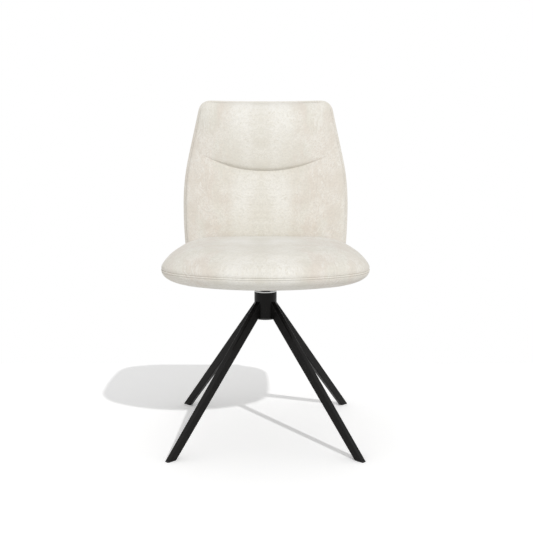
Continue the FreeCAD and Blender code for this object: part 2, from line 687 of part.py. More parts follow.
def crease_cutter(grow):
    """Round body whose lower rim is the smile-shaped crease, with a rounded lip at the front."""
    radius = CREASE_RADIUS + grow
    centre_z = CREASE_LOW_Z + CREASE_RADIUS
    lip_y = -BACK_WELT_THICKNESS / 2 - HEAD_THICKNESS
    lip_start = lip_y + CREASE_LIP_DEPTH
    axis_front = FreeCAD.Vector(0, lip_y, centre_z)
    axis_rear = FreeCAD.Vector(0, BACK_HEIGHT / 4, centre_z)
    lip_inner = FreeCAD.Vector(0, lip_y, centre_z - radius + CREASE_LIP_HEIGHT)
    lip_outer = FreeCAD.Vector(0, lip_start, centre_z - radius)
    slant = math.pi / 4
    lip_middle = FreeCAD.Vector(0, lip_start - CREASE_LIP_DEPTH * math.sin(slant),
                                lip_inner.z - CREASE_LIP_HEIGHT * math.cos(slant))
    rear_corner = FreeCAD.Vector(0, axis_rear.y, centre_z - radius)
    profile = Part.Wire([Part.makeLine(axis_front, lip_inner), arc(lip_inner, lip_middle, lip_outer),
                         Part.makeLine(lip_outer, rear_corner), Part.makeLine(rear_corner, axis_rear),
                         Part.makeLine(axis_rear, axis_front)])
    return Part.Face(profile).revolve(axis_front, FreeCAD.Vector(0, 1, 0), 360)


def back_board_shape():
    board = wrapped_layer(BACK_WELT_WIDTH + SOFT_GAP, BACK_FRONT_FACE, BACK_BOARD_REAR)
    spot_face = cylinder(TEE_FLANGE_RADIUS + SEATING_CLEARANCE, 0.0, TEE_FLANGE_THICKNESS + SOFT_GAP)
    for hole in back_fasteners(board_hole(3 * BACK_BOARD_THICKNESS).fuse(spot_face)):
        board = board.cut(hole)
    return board


def crease_height(x):
    """Height of the crease at x in the backrest's upright frame."""
    return CREASE_LOW_Z + CREASE_RADIUS - math.sqrt(CREASE_RADIUS**2 - x**2)


def lumbar_pad_shape():
    h = BACK_HEIGHT
    top = crease_height(BACK_HALF_WIDTH)
    sections = [(0.0045 * h, 0.50, 0.14, 4.0), (0.032 * h, LUMBAR_FOOT_SHARE, 0.29, 1.5),
                (0.091 * h, 0.86, 0.36, 1.0), (0.216 * h, 0.97, 0.38, 1.0), (BACK_WIDEST_Z, 1.0, 0.38, 1.0),
                (CREASE_LOW_Z, 0.98, 0.38, 1.0), (top, 0.95, 0.38, 1.0)]
    pad = pad_loft(sections, LUMBAR_THICKNESS, BACK_PAD_SEAT, -1)
    pad = pad.cut(crease_cutter(SOFT_GAP))
    for pocket in back_fasteners(tee_pocket()):
        pad = pad.cut(pocket)
    return pad


def head_pad_shape():
    h = BACK_HEIGHT
    low = CREASE_LOW_Z
    sections = [(low - 0.039 * h, 0.88, 0.27, 1.0), (low + 0.075 * h, 0.99, 0.28, 1.0),
                (0.716 * h, 1.0, 0.28, 1.0), (0.83 * h, 0.92, 0.28, 1.0), (0.914 * h, 0.75, 0.25, 1.0),
                (0.964 * h, 0.54, 0.19, 1.5), (0.9864 * h, 0.36, 0.125, 2.5), (0.9966 * h, 0.17, 0.06, 4.0)]
    return pad_loft(sections, HEAD_THICKNESS, BACK_PAD_SEAT, -1).common(crease_cutter(0.0))


def rear_cover_shape():
    """Upholstered rear shell with a pocket for the board, the bracket arms and their bolts."""
    h = BACK_HEIGHT
    sections = [(0.0045 * h, 0.62, 0.26, 4.0), (0.032 * h, 0.86, 0.43, 1.5), (0.102 * h, 0.97, 0.55, 1.0),
                (BACK_WIDEST_Z, 1.0, 0.60, 1.0), (0.75 * h, 0.96, 0.55, 1.0), (0.898 * h, 0.82, 0.51, 1.0),
                (0.964 * h, 0.62, 0.38, 1.5), (0.9966 * h, 0.26, 0.13, 4.0)]
    shell = pad_loft(sections, COVER_REAR - BACK_PAD_SEAT, BACK_PAD_SEAT, 1)
    shell = shell.cut(wrapped_layer(BACK_WELT_WIDTH, BACK_FRONT_FACE, BACK_BOARD_REAR + SOFT_GAP))
    for side in (-1, 1):
        low_x = side * BRACKET_CENTRE_X - BRACKET_WIDTH / 2 - SOFT_GAP
        corner = FreeCAD.Vector(low_x, 0, -BACK_HEIGHT / 4)
        depth = bracket_face() + BRACKET_THICKNESS + SOFT_GAP
        height = BACK_HEIGHT / 4 + BRACKET_RISE + SOFT_GAP
        shell = shell.cut(Part.makeBox(BRACKET_WIDTH + 2 * SOFT_GAP, depth, height, corner))
    head_room = cylinder(WASHER_RADIUS + SOFT_GAP, -WASHER_THICKNESS - BOLT_HEAD_HEIGHT - SOFT_GAP, SOFT_GAP)
    for pocket in back_fasteners(head_room, bracket_face() + BRACKET_THICKNESS):
        shell = shell.cut(pocket)
    return shell


def back_welt_shape():
    ring = wrapped_layer(-BACK_WELT_PROUD, -BACK_WELT_THICKNESS / 2, BACK_WELT_THICKNESS / 2)
    hole = wrapped_layer(BACK_WELT_WIDTH, -BACK_WELT_THICKNESS, BACK_WELT_THICKNESS)
    return ring.cut(hole)


# Back brackets and their fasteners


def bracket_face():
    """Front face of the bracket arm, which bears on the board's rear along the arm's inner edge."""
    return wrap(BRACKET_CENTRE_X - BRACKET_WIDTH / 2, BACK_BOARD_REAR) + SEATING_CLEARANCE


def bracket(side):
    """Flat bar under the seat board, bent up along the back board."""
    under = BOARD_BOTTOM
    t = BRACKET_THICKNESS
    tilt = math.radians(BACK_RECLINE)
    inner = back_point(bracket_face(), BRACKET_RISE)
    outer = back_point(bracket_face() + t, BRACKET_RISE)
    inner_corner = (inner[0] - (inner[1] - under) * math.tan(tilt), under)
    outer_corner = (outer[0] - (outer[1] - under + t) * math.tan(tilt), under - t)
    points = [(BRACKET_FRONT_Y, under), inner_corner, inner, outer, outer_corner, (BRACKET_FRONT_Y, under - t)]
    low_x = side * BRACKET_CENTRE_X - BRACKET_WIDTH / 2
    corners_3d = [FreeCAD.Vector(low_x, y, z) for y, z in points]
    bar = Part.Face(Part.makePolygon(corners_3d + corners_3d[:1])).extrude(FreeCAD.Vector(BRACKET_WIDTH, 0, 0))
    inside = [e for e in bar.Edges if is_corner(e, inner_corner)]
    bar = bar.makeFillet(BRACKET_BEND, inside)
    outside = [e for e in bar.Edges if is_corner(e, outer_corner)]
    bar = bar.makeFillet(BRACKET_BEND + t, outside)
    hole = cylinder(BOLT_RADIUS + HOLE_CLEARANCE, -t, 0.0)
    places = [p for p in seat_bolt_places() if p[0] * side > 0]
    for cutter in lifted(hole, places, under):
        bar = bar.cut(cutter)
    for cutter in back_fasteners(cylinder(BOLT_RADIUS + HOLE_CLEARANCE, -4 * t, 4 * t)):
        bar = bar.cut(reclined(cutter))
    return bar


def is_corner(edge, place):
    """True for the edge across the bar at a corner (y, z) of its profile."""
    return all(abs(v.Y - place[0]) < 1e-4 and abs(v.Z - place[1]) < 1e-4 for v in edge.Vertexes)


def back_nut_face():
    """Local y of the flat spot face under a tee nut on the curved board."""
    return wrap(BRACKET_CENTRE_X - TEE_FLANGE_RADIUS, BACK_FRONT_FACE)


def back_fasteners(shape, face=None):
    """Copies of a fastener at the back bolts, its +Z forward and its zero on the nuts' spot face.

    With face given, the zero lies at that local y instead.
    """
    if face is None:
        face = back_nut_face()
    copies = []
    for side in (-1, 1):
        for z in BACK_BOLT_ZS:
            copy = shape.copy()
            copy.rotate(ORIGIN, FreeCAD.Vector(1, 0, 0), 90)
            copy.translate(FreeCAD.Vector(side * BRACKET_CENTRE_X, face, z))
            copies.append(copy)
    return copies


def back_grip():
    """Shank length of a back bolt, from the bracket's rear face to the spot face."""
    return bracket_face() + BRACKET_THICKNESS - back_nut_face()


def write_base():
    save(column(), "hub_column")
    save(column_cap(), "column_cap")
    for number, name in enumerate(LEG_NAMES):
        angle = LEG_FIRST_ANGLE + number * 360 / len(LEG_NAMES)
        for shape, kind in ((leg(), "leg_"), (glide(), "foot_glide_")):
            shape.rotate(ORIGIN, UP, angle)
            save(shape, kind + name)
    save(bearing_ring(), "bearing_ring")
    save(upper_bush(), "upper_bush")
    save(lower_bush(), "lower_bush")
    save(thrust_washer(), "thrust_washer")
    save(lower_washer(), "lower_washer")


def write_swivel():
    save(spindle(), "spindle")
    save(circlip(), "circlip")
    save(spindle_collar(), "spindle_collar")
    save(plate_gussets(), "plate_gussets")
    save(swivel_plate(), "swivel_plate")
    places = plate_bolt_places()
    save(Part.makeCompound(lifted(bolt(PLATE_THICKNESS + BOARD_THICKNESS), places, PLATE_BOTTOM)), "plate_bolts")
    save(Part.makeCompound(lifted(washer(), places, PLATE_BOTTOM)), "plate_washers")
    save(Part.makeCompound(lifted(tee_nut(), places, BOARD_TOP)), "plate_tee_nuts")


def write_seat():
    save(seat_board(), "seat_board")
    save(seat_lower_pad(), "seat_lower_pad")
    save(seat_welt(), "seat_welt")
    save(seat_cushion(), "seat_cushion")
    save(seat_dust_cover(), "seat_dust_cover")


def write_brackets():
    for side, name in ((-1, "left"), (1, "right")):
        save(bracket(side), "back_bracket_" + name)
    places = seat_bolt_places()
    under = BOARD_BOTTOM - BRACKET_THICKNESS
    grip = BRACKET_THICKNESS + BOARD_THICKNESS
    save(Part.makeCompound(lifted(bolt(grip), places, under)), "bracket_bolts")
    save(Part.makeCompound(lifted(washer(), places, under)), "bracket_washers")
    save(Part.makeCompound(lifted(tee_nut(), places, BOARD_TOP)), "bracket_tee_nuts")
    rear = bracket_face() + BRACKET_THICKNESS
    save(Part.makeCompound([reclined(s) for s in back_fasteners(bolt(back_grip()), rear)]), "back_bolts")
    save(Part.makeCompound([reclined(s) for s in back_fasteners(washer(), rear)]), "back_washers")
    save(Part.makeCompound([reclined(s) for s in back_fasteners(tee_nut())]), "back_tee_nuts")


def write_back():
    save(reclined(back_board_shape()), "back_board")
    save(reclined(lumbar_pad_shape()), "lumbar_pad")
    save(reclined(head_pad_shape()), "head_pad")
    save(reclined(rear_cover_shape()), "rear_cover")
    save(reclined(back_welt_shape()), "back_welt")


os.makedirs("parts", exist_ok=True)
write_base()
write_swivel()
write_seat()
write_brackets()
write_back()
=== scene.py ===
import json
import math

import bpy
import numpy as np
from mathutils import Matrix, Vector
from mathutils.kdtree import KDTree


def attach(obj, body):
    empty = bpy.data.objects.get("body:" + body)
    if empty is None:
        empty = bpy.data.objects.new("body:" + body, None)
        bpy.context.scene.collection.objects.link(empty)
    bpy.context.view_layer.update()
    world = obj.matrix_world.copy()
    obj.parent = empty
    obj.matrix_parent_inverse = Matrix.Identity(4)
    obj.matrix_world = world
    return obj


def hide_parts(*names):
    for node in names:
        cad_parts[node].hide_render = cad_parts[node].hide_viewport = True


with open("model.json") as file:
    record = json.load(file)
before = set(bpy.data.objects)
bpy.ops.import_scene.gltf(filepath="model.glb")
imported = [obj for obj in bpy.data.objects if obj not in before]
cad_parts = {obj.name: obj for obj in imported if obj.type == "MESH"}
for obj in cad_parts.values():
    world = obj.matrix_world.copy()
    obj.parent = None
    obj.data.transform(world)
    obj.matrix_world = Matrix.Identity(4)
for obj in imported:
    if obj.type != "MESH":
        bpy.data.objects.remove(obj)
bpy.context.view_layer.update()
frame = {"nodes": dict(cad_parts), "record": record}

# Swivel dining chair. Shapes are worked out in millimetres in the model's own frame and written in metres.
MM = 0.001

# Seat outline and layers
SEAT_FRONT = -312.0
SEAT_REAR = 185.0
SEAT_HALF_WIDTH = 249.0
SEAT_WIDEST_Y = -60.0
SEAT_FRONT_BOW = 330.0
SEAT_SIDE_BOW = 1500.0
SEAT_REAR_BOW = 520.0
SEAT_FRONT_CORNER = 135.0
SEAT_REAR_CORNER = 88.0
BOARD_BOTTOM = 413.0
BOARD_TOP = 425.0
BOARD_INSET = 50.0
WELT_BOTTOM = 443.0
WELT_TOP = 447.5
SEAM_STEP = 6.5

# Seat cushion: its top is a superellipse of the inset from the seam; the rings on it lie at these insets
SEAT_CROWN = 502.2
DOME_START = WELT_TOP + 1.4
DOME_REACH = 213.0
DOME_POWER = 2.35
DOME_SHIFT = 0.4
DOME_INSETS = (0.45, 0.7, 1.2, 2.2, 4.0, 6.5, 10, 15, 21, 28)

# Lower cover of the seat: its bowl as (inset, height), and the heights of its rings
BOWL = [(0.35, 441.4), (2.0, 437.0), (7.2, 430.0), (16.6, 423.4), (30.6, 417.6), (45.0, 413.9)]
BOWL_HEIGHTS = (414.6, 415.6, 417.2, 419.2, 421.8, 424.6, 428.0, 431.5, 435.0, 438.4, 440.6)

# Backrest outline and layers, in its own upright frame
BACK_BASE_Y = 216.24
BACK_BASE_Z = 430.0
BACK_RECLINE = 10.5
BACK_WRAP_RADIUS = 1400.0
BACK_HEIGHT = 440.0
BACK_HALF_WIDTH = 229.5
BACK_WIDEST_Z = 152.0
BACK_UPPER_BOW = 622.0
BACK_LOWER_BOW = 1318.0
BACK_TAPER_ANGLE = 11.5
BACK_TOP_CORNER = 34.0
BACK_BOTTOM_CORNER = 40.0
FRONT_INSET = 7.5
HEAD_THICKNESS = 64.0
HEAD_ROUND = 100.0
LUMBAR_EDGE = 16.0
HEAD_EDGE = 18.0
EDGE_ROUND = 34.0
COVER_DEPTH = 23.4

# Front of the backrest: thickness of the lumbar pad and share of the head's thickness, as (height, value)
LUMBAR_FULLNESS = [(0, 27), (14, 32), (40, 37), (95, 41), (152, 42), (232, 41.2), (310, 40)]
HEAD_FULLNESS = [(200, 0.78), (240, 0.84), (290, 0.94), (345, 1.0), (440, 1.0)]
SHOULDER_MARGIN = 10.0
SHOULDER_LEAST = 20.0
HEAD_EDGE_SHARE = 0.6
FRONT_FACE = -3.1
FRONT_BACKING = 0.4
BORDER_ROWS = (0.0, 0.03, 0.12, 0.3, 0.6, 1.1, 1.8, 2.8, 4.2, 6.0, 8.5, 12.0)
BORDER_COLUMNS = (0.0, 0.35, 1.0, 2.0, 3.4, 5.2, 7.5, 10.5, 14.5, 20.0)
COLUMN_REACH = 220.0
MIDDLE_COLUMNS = 60
PLAIN_ROW_STEP = 7.0
PLAIN_ROW_END = 6.0
CREASE_ROUNDS = 6

# Crease between the pads: an arc that fades out sideways. The pairs are (height over the crease, value).
CREASE_LOW_Z = 235.5
CREASE_RADIUS = 382.0
CREASE_FULL_X = 70.0
CREASE_END_X = 196.0
CREASE_REACH = 200.0
CREASE_ROWS = np.array([-60, -48, -38, -30, -23, -17, -12, -8, -5, -3, -1.6, -0.7, 0.0, 0.5, 1.1, 1.9, 3.0,
                        4.6, 7, 10, 14, 19, 25, 32, 41, 52, 64, 78])
CREASE_STEP = [(-1.6, 0), (-0.7, 0.02), (0.0, 0.08), (0.5, 0.19), (1.1, 0.31), (1.9, 0.44), (3.0, 0.57),
               (4.6, 0.69), (7, 0.80), (10, 0.88), (14, 0.94), (19, 0.98), (25, 0.995), (32, 1.0)]
CREASE_CUT = [(-17, 0), (-12, 0.1), (-8, 0.3), (-5, 0.6), (-3, 1.0), (-1.6, 1.5), (-0.7, 1.9), (0.0, 2.1),
              (0.5, 1.5), (1.1, 0.8), (1.9, 0.3), (3.0, 0)]
CREASE_HANG = [(-0.7, 0), (0.0, 0.1), (0.5, 0.3), (1.1, 0.5), (1.9, 0.7), (3.0, 0.7), (4.6, 0.6), (7, 0.4),
               (10, 0.2), (14, 0)]
FADE_LOW = 60.0
FADE_HEIGHT = 140.0

# Rear of the backrest: a rolled edge, then a superellipse of the inset
REAR_EDGE = [(20.0, 8.0), (13.0, 8.0), (12.6, 2.9), (7.0, 2.9), (4.2, 2.9), (2.9, 3.1), (2.0, 3.8),
             (1.5, 4.8), (0.9, 5.2), (0.45, 5.5)]
REAR_INSETS = (0.25, 0.45, 1.0, 2.2, 4.0, 6.5, 10, 14, 19, 25, 32, 39)
REAR_START = 5.6
REAR_REACH = 62.0
REAR_POWER = 2.3
REAR_CROWN = 1.8
REAR_CROWN_REACH = 200.0
REAR_OVERLAP = 2.5
REAR_SHIFT = 0.2

# Flat band on the slanting edge of the backrest, as (inset, level)
BACK_BAND = [(12.0, -2.0), (8.4, -2.2), (7.0, -2.2), (6.2, -2.2), (5.3, -1.5), (4.3, -0.2), (3.4, 1.1),
             (2.9, 2.0), (3.0, 2.7), (3.6, 3.0), (4.6, 3.1), (12.0, 2.4)]

# Fabric pattern, in metres: how far its mirror line lies from the middle, and the rhythm of its pale patches
MIRROR_SHIFT = 0.012
PATCH_PERIOD = 0.2
PATCH_CENTRE = 0.39

# Cloth simulation of the pads
CLOTH_VOXEL = 8.0
CLOTH_PRESSURE = 4.0
CLOTH_FRAMES = 20
CLOTH_CAP = 2.5
CLOTH_QUALITY = 5
CLOTH_NEIGHBOURS = 6
NEAR_DISTANCE = 1e-4
RELAX_ROUNDS = 60
HELD_START = 2.0
HELD_END = 14.0
HELD_RIM = 5.0
HELD_CREASE = 6.0
HELD_CREASE_END = 22.0
HELD_CREASE_SIDE = 12.0

# Camera
LENS = 56.29
CAMERA_PLACE = (0.0025, -2.1006, 0.7231)
CAMERA_TILT = 82.074
SENSOR = 36.0
FAR_END = 200.0

# Light: name, direction in which it travels, strength and apparent size in degrees
LAMPS = [("key", (-0.544, 1.092, -1.0), 1.25, 1.2), ("fill", (0.70, 0.66, -0.28), 0.28, 60.0),
         ("top", (0.05, 0.1, -1.0), 0.17, 100.0)]
SKY = 0.575

# Floor: its tone for the light and for the camera, where it ends behind the chair, and how far it reaches
FLOOR_BOUNCE = 0.85
FLOOR_SHOWN = 1.22
FLOOR_REAR = 0.668
FLOOR_REACH = 60.0


def srgb(r, g, b):
    """Linear colour of an 8-bit screen colour."""
    def one(v):
        v /= 255
        return v / 12.92 if v <= 0.04045 else ((v + 0.055) / 1.055) ** 2.4
    return (one(r), one(g), one(b), 1.0)


# Node helpers


class Nodes:
    """Short way to build a material."""

    def __init__(self, name):
        self.material = bpy.data.materials.new(name)
        self.material.use_nodes = True
        self.tree = self.material.node_tree
        self.tree.nodes.clear()
        self.output = self.add("ShaderNodeOutputMaterial")

    def add(self, kind, **inputs):
        """New node, with values or sockets for some of its inputs."""
        node = self.tree.nodes.new(kind)
        for name, value in inputs.items():
            self.feed(value, node.inputs[name.replace("_", " ")])
        return node

    def link(self, start, end):
        self.tree.links.new(start, end)

    def feed(self, value, socket):
        """Link or set an input, whichever the value is for."""
        if isinstance(value, bpy.types.NodeSocket):
            self.link(value, socket)
        else:
            socket.default_value = value

    def noise(self, vector, scale, detail=2.0, rough=0.5, distortion=0.0):
        node = self.add("ShaderNodeTexNoise", Vector=vector, Scale=scale, Detail=detail, Roughness=rough,
                        Distortion=distortion)
        return node.outputs["Fac"]

    def stretch(self, vector, scale):
        return self.add("ShaderNodeMapping", Vector=vector, Scale=scale).outputs["Vector"]

    def ramp(self, value, *stops):
        node = self.add("ShaderNodeValToRGB", Fac=value)
        elements = node.color_ramp.elements
        while len(elements) < len(stops):
            elements.new(0.5)
        for element, (place, colour) in zip(elements, stops):
            element.position = place
            element.color = colour
        return node.outputs["Color"]

    def mix(self, factor, first, second, blend="MIX"):
        node = self.add("ShaderNodeMix")
        node.data_type = "RGBA"
        node.blend_type = blend
        for socket, value in (("Factor", factor), ("A", first), ("B", second)):
            self.feed(value, [s for s in node.inputs if s.name == socket and s.enabled][0])
        return [s for s in node.outputs if s.enabled][0]

    def maths(self, operation, *values):
        node = self.add("ShaderNodeMath")
        node.operation = operation
        for socket, value in zip(node.inputs, values):
            self.feed(value, socket)
        return node.outputs[0]

    def multiply_add(self, value, factor, addend):
        return self.maths("MULTIPLY_ADD", value, factor, addend)

    def bump(self, height, distance, strength=1.0, normal=None):
        node = self.add("ShaderNodeBump", Height=height, Distance=distance, Strength=strength)
        if normal is not None:
            self.link(normal, node.inputs["Normal"])
        return node.outputs["Normal"]

    def principled(self, **values):
        node = self.add("ShaderNodeBsdfPrincipled", **values)
        self.link(node.outputs[0], self.output.inputs["Surface"])

    def place(self):
        return self.add("ShaderNodeTexCoord").outputs["Object"]


def grey(value):
    return (value, value, value, 1.0)


CREAM = srgb(223, 219, 208)
ROSY = srgb(222, 214, 203)
PALE_PATCH = srgb(243, 241, 236)
PALE_VEIN = srgb(241, 239, 233)


def branching_lines(n, sheet, scale, detail, distortion, width, stretch=(1.0, 1.0, 0.4)):
    """Branching threads where a noise passes its middle value."""
    value = n.noise(n.stretch(sheet, stretch), scale, detail, 0.62, distortion)
    value = n.maths("ABSOLUTE", n.maths("SUBTRACT", value, 0.5))
    return n.ramp(value, (width * 0.2, grey(1.0)), (width, grey(0.0)))


def fabric_sheet(n, place):
    """Distance from the mirror line, length along the cloth, and the two with the depth as one vector."""
    split = n.add("ShaderNodeSeparateXYZ")
    n.link(place, split.inputs[0])
    across = n.maths("ABSOLUTE", n.maths("ADD", split.outputs[0], MIRROR_SHIFT))
    along = n.maths("SUBTRACT", split.outputs[2], split.outputs[1])
    sheet = n.add("ShaderNodeCombineXYZ")
    for socket, value in zip(sheet.inputs, (across, along, split.outputs[1])):
        n.link(value, socket)
    return across, along, sheet.outputs[0]


def fabric_pattern(n, across, along, sheet, clouds):
    """Colour of the cloth before its nap: rosy sides, feathered pale patches near the middle, fine veins."""
    broad = n.noise(n.stretch(sheet, (1.0, 0.7, 0.3)), 15.0, 2.0)
    comb = n.noise(n.stretch(sheet, (0.22, 1.0, 0.3)), 120.0, 3.0, 0.6, 0.6)
    wander = n.multiply_add(comb, 0.05, n.multiply_add(broad, 0.07, across))
    rosy = n.ramp(wander, (0.125, grey(0.1)), (0.175, grey(1.0)), (0.26, grey(0.85)), (0.31, grey(0.3)))
    rosy = n.maths("MULTIPLY", rosy, n.ramp(clouds, (0.40, grey(0.1)), (0.54, grey(1.0))))
    colour = n.mix(rosy, CREAM, ROSY)

    middle = n.ramp(wander, (0.065, grey(0.15)), (0.095, grey(1.0)), (0.125, grey(0.85)), (0.165, grey(0.0)))
    rhythm = 2 * math.pi / PATCH_PERIOD
    beat = n.multiply_add(along, rhythm, -rhythm * PATCH_CENTRE)
    beat = n.multiply_add(n.maths("COSINE", beat), 0.36, 0.58)
    coarse = branching_lines(n, sheet, 68.0, 4.0, 2.2, 0.085, (0.5, 1.0, 0.3))
    fine = branching_lines(n, sheet, 135.0, 3.0, 1.6, 0.11, (0.35, 1.0, 0.3))
    frost = n.maths("MAXIMUM", coarse, n.maths("MULTIPLY", fine, 0.8))
    frost = n.multiply_add(frost, 0.95, 0.05)
    white = n.maths("MULTIPLY", n.maths("MULTIPLY", middle, beat), frost)
    colour = n.mix(n.maths("MULTIPLY", white, 0.82), colour, PALE_PATCH)

    patches = n.ramp(n.noise(sheet, 21.0, 3.0, 0.6), (0.40, grey(0.15)), (0.58, grey(1.0)))
    veins = n.maths("MAXIMUM", branching_lines(n, sheet, 48.0, 5.0, 2.2, 0.045),
                    n.maths("MULTIPLY", branching_lines(n, sheet, 120.0, 4.0, 1.6, 0.08), 0.6))
    veins = n.maths("MULTIPLY", veins, patches)
    forks = n.ramp(across, (0.125, grey(0.0)), (0.14, grey(1.0)), (0.172, grey(1.0)), (0.19, grey(0.0)))
    forks = n.maths("MULTIPLY", forks, branching_lines(n, sheet, 60.0, 3.0, 1.2, 0.04, (1.0, 0.28, 0.3)))
    veins = n.maths("MAXIMUM", veins, n.maths("MULTIPLY", forks, 0.9))
    return n.mix(n.maths("MULTIPLY", veins, 0.62), colour, PALE_VEIN)


def fabric_material():
    """Cream cloth with a short nap, in cloudy tones mirrored about the middle."""
    n = Nodes("cream_fabric")
    place = n.place()
    across, along, sheet = fabric_sheet(n, place)
    clouds = n.noise(n.stretch(sheet, (1.0, 0.5, 0.4)), 17.0, 4.0, 0.55, 0.5)
    colour = fabric_pattern(n, across, along, sheet, clouds)
    dapple = n.noise(n.stretch(sheet, (0.7, 1.0, 1.0)), 230.0, 3.0, 0.6)
    colour = n.mix(1.0, colour, n.ramp(dapple, (0.3, grey(0.945)), (0.7, grey(1.045))), "MULTIPLY")
    grain = n.noise(place, 900.0, 3.0, 0.7)
    colour = n.mix(1.0, colour, n.ramp(grain, (0.3, grey(0.95)), (0.7, grey(1.05))), "MULTIPLY")
    nap = n.bump(n.noise(place, 1500.0, 3.0, 0.6), 0.0004, 0.5)
    nap = n.bump(dapple, 0.0006, 0.35, nap)
    rough = n.ramp(clouds, (0.3, grey(0.86)), (0.7, grey(0.94)))
    n.principled(Base_Color=colour, Roughness=rough, Normal=nap, Sheen_Weight=0.26, Sheen_Roughness=0.5,
                 Specular_IOR_Level=0.2)
    return n.material


def powder_coat_material():
    """Satin black powder coat with a fine texture and a slightly uneven tone."""
    n = Nodes("black_powder_coat")
    place = n.place()
    fine = n.noise(place, 1400.0, 3.0, 0.6)
    broad = n.noise(place, 30.0, 3.0, 0.5)
    colour = n.ramp(broad, (0.3, srgb(15, 14, 13)), (0.7, srgb(20, 19, 18)))
    rough = n.ramp(broad, (0.3, grey(0.33)), (0.7, grey(0.4)))
    normal = n.bump(fine, 0.00015, 0.25)
    n.principled(Base_Color=colour, Roughness=rough, Normal=normal, Specular_IOR_Level=0.13)
    return n.material


def plastic_material():
    n = Nodes("black_plastic")
    place = n.place()
    fine = n.noise(place, 900.0, 2.0, 0.5)
    colour = n.ramp(fine, (0.3, srgb(24, 24, 24)), (0.7, srgb(32, 32, 32)))
    n.principled(Base_Color=colour, Roughness=0.55, Normal=n.bump(fine, 0.0002, 0.4))
    return n.material


def turned_steel_material():
    """Bright ring with fine marks round its own axis."""
    n = Nodes("bright_ring")
    place = n.place()
    split = n.add("ShaderNodeSeparateXYZ")
    n.link(place, split.inputs[0])
    radius = n.maths("SQRT", n.maths("ADD", n.maths("MULTIPLY", split.outputs[0], split.outputs[0]),
                                     n.maths("MULTIPLY", split.outputs[1], split.outputs[1])))
    join = n.add("ShaderNodeCombineXYZ")
    n.link(radius, join.inputs[0])
    n.link(split.outputs[2], join.inputs[2])
    marks = n.noise(join.outputs[0], 1600.0, 4.0, 0.6)
    rough = n.ramp(marks, (0.3, grey(0.22)), (0.7, grey(0.36)))
    n.principled(Base_Color=srgb(196, 196, 194), Metallic=1.0, Roughness=rough,
                 Normal=n.bump(marks, 0.0001, 0.4))
    return n.material


def zinc_material():
    n = Nodes("zinc_plated_steel")
    place = n.place()
    patches = n.noise(place, 240.0, 4.0, 0.6)
    colour = n.ramp(patches, (0.3, srgb(176, 178, 182)), (0.7, srgb(203, 204, 206)))
    rough = n.ramp(patches, (0.3, grey(0.3)), (0.7, grey(0.42)))
    n.principled(Base_Color=colour, Metallic=1.0, Roughness=rough, Normal=n.bump(patches, 0.0001, 0.3))
    return n.material


def plywood_material():
    """Rotary-cut face veneer with a stretched grain."""
    n = Nodes("plywood")
    place = n.place()
    grain = n.noise(n.stretch(place, (38.0, 2.2, 2.2)), 6.0, 5.0, 0.6, 0.4)
    colour = n.ramp(grain, (0.3, srgb(176, 138, 92)), (0.5, srgb(203, 167, 120)), (0.7, srgb(219, 189, 146)))
    n.principled(Base_Color=colour, Roughness=0.6, Normal=n.bump(grain, 0.0004, 0.4))
    return n.material


def black_cloth_material():
    """Thin non-woven cloth with a pressed dot pattern."""
    n = Nodes("black_cloth")
    place = n.place()
    dots = n.add("ShaderNodeTexVoronoi", Vector=place, Scale=380.0)
    colour = n.ramp(n.noise(place, 180.0, 4.0, 0.6), (0.3, srgb(22, 22, 23)), (0.7, srgb(36, 36, 37)))
    n.principled(Base_Color=colour, Roughness=0.9, Normal=n.bump(dots.outputs["Distance"], 0.0005, 0.6))
    return n.material


MATERIALS = {
    "cream_fabric": fabric_material(),
    "black_powder_coat": powder_coat_material(),
    "black_plastic": plastic_material(),
    "bright_ring": turned_steel_material(),
    "zinc_plated_steel": zinc_material(),
    "plywood": plywood_material(),
    "black_cloth": black_cloth_material(),
}


# Curves in the plane


def tangent_arc_points(pieces, step):
    """Points and outward normals along pieces ("arc", centre, radius, start, end) or ("line", start, end)."""
    points = []
    normals = []
    for piece in pieces:
        if piece[0] == "arc":
            _, centre, radius, start, end = piece
            first = math.atan2(start[1] - centre[1], start[0] - centre[0])
            last = math.atan2(end[1] - centre[1], end[0] - centre[0])
            sweep = (last - first + math.pi) % (2 * math.pi) - math.pi
            count = max(3, round(abs(sweep) * radius / step))
            angles = first + sweep * np.arange(count) / count
            ring = np.column_stack([np.cos(angles), np.sin(angles)])
            points.append(np.array(centre) + radius * ring)
            normals.append(ring)
        else:
            _, start, end = piece
            run = np.array(end) - np.array(start)
            length = np.hypot(*run)
            count = max(2, round(length / step))
            points.append(np.array(start) + run * (np.arange(count) / count)[:, None])
            normals.append(np.tile([run[1] / length, -run[0] / length], (count, 1)))
    return np.vstack(points), np.vstack(normals)


def towards(centre, radius, place):
    """Point of a circle in the direction of another point."""
    run = np.array(place) - np.array(centre)
    return tuple(np.array(centre) + run * radius / np.hypot(*run))


def corner_centre(first, first_radius, second, second_radius):
    """Centre of a corner arc that touches two wide arcs from inside, on the outer side."""
    run = np.array(second) - np.array(first)
    gap = np.hypot(*run)
    along = (first_radius**2 - second_radius**2 + gap**2) / (2 * gap)
    off = math.sqrt(first_radius**2 - along**2)
    middle = np.array(first) + along * run / gap
    side = np.array([-run[1], run[0]]) * off / gap
    return max((tuple(middle + side), tuple(middle - side)), key=lambda p: p[0])


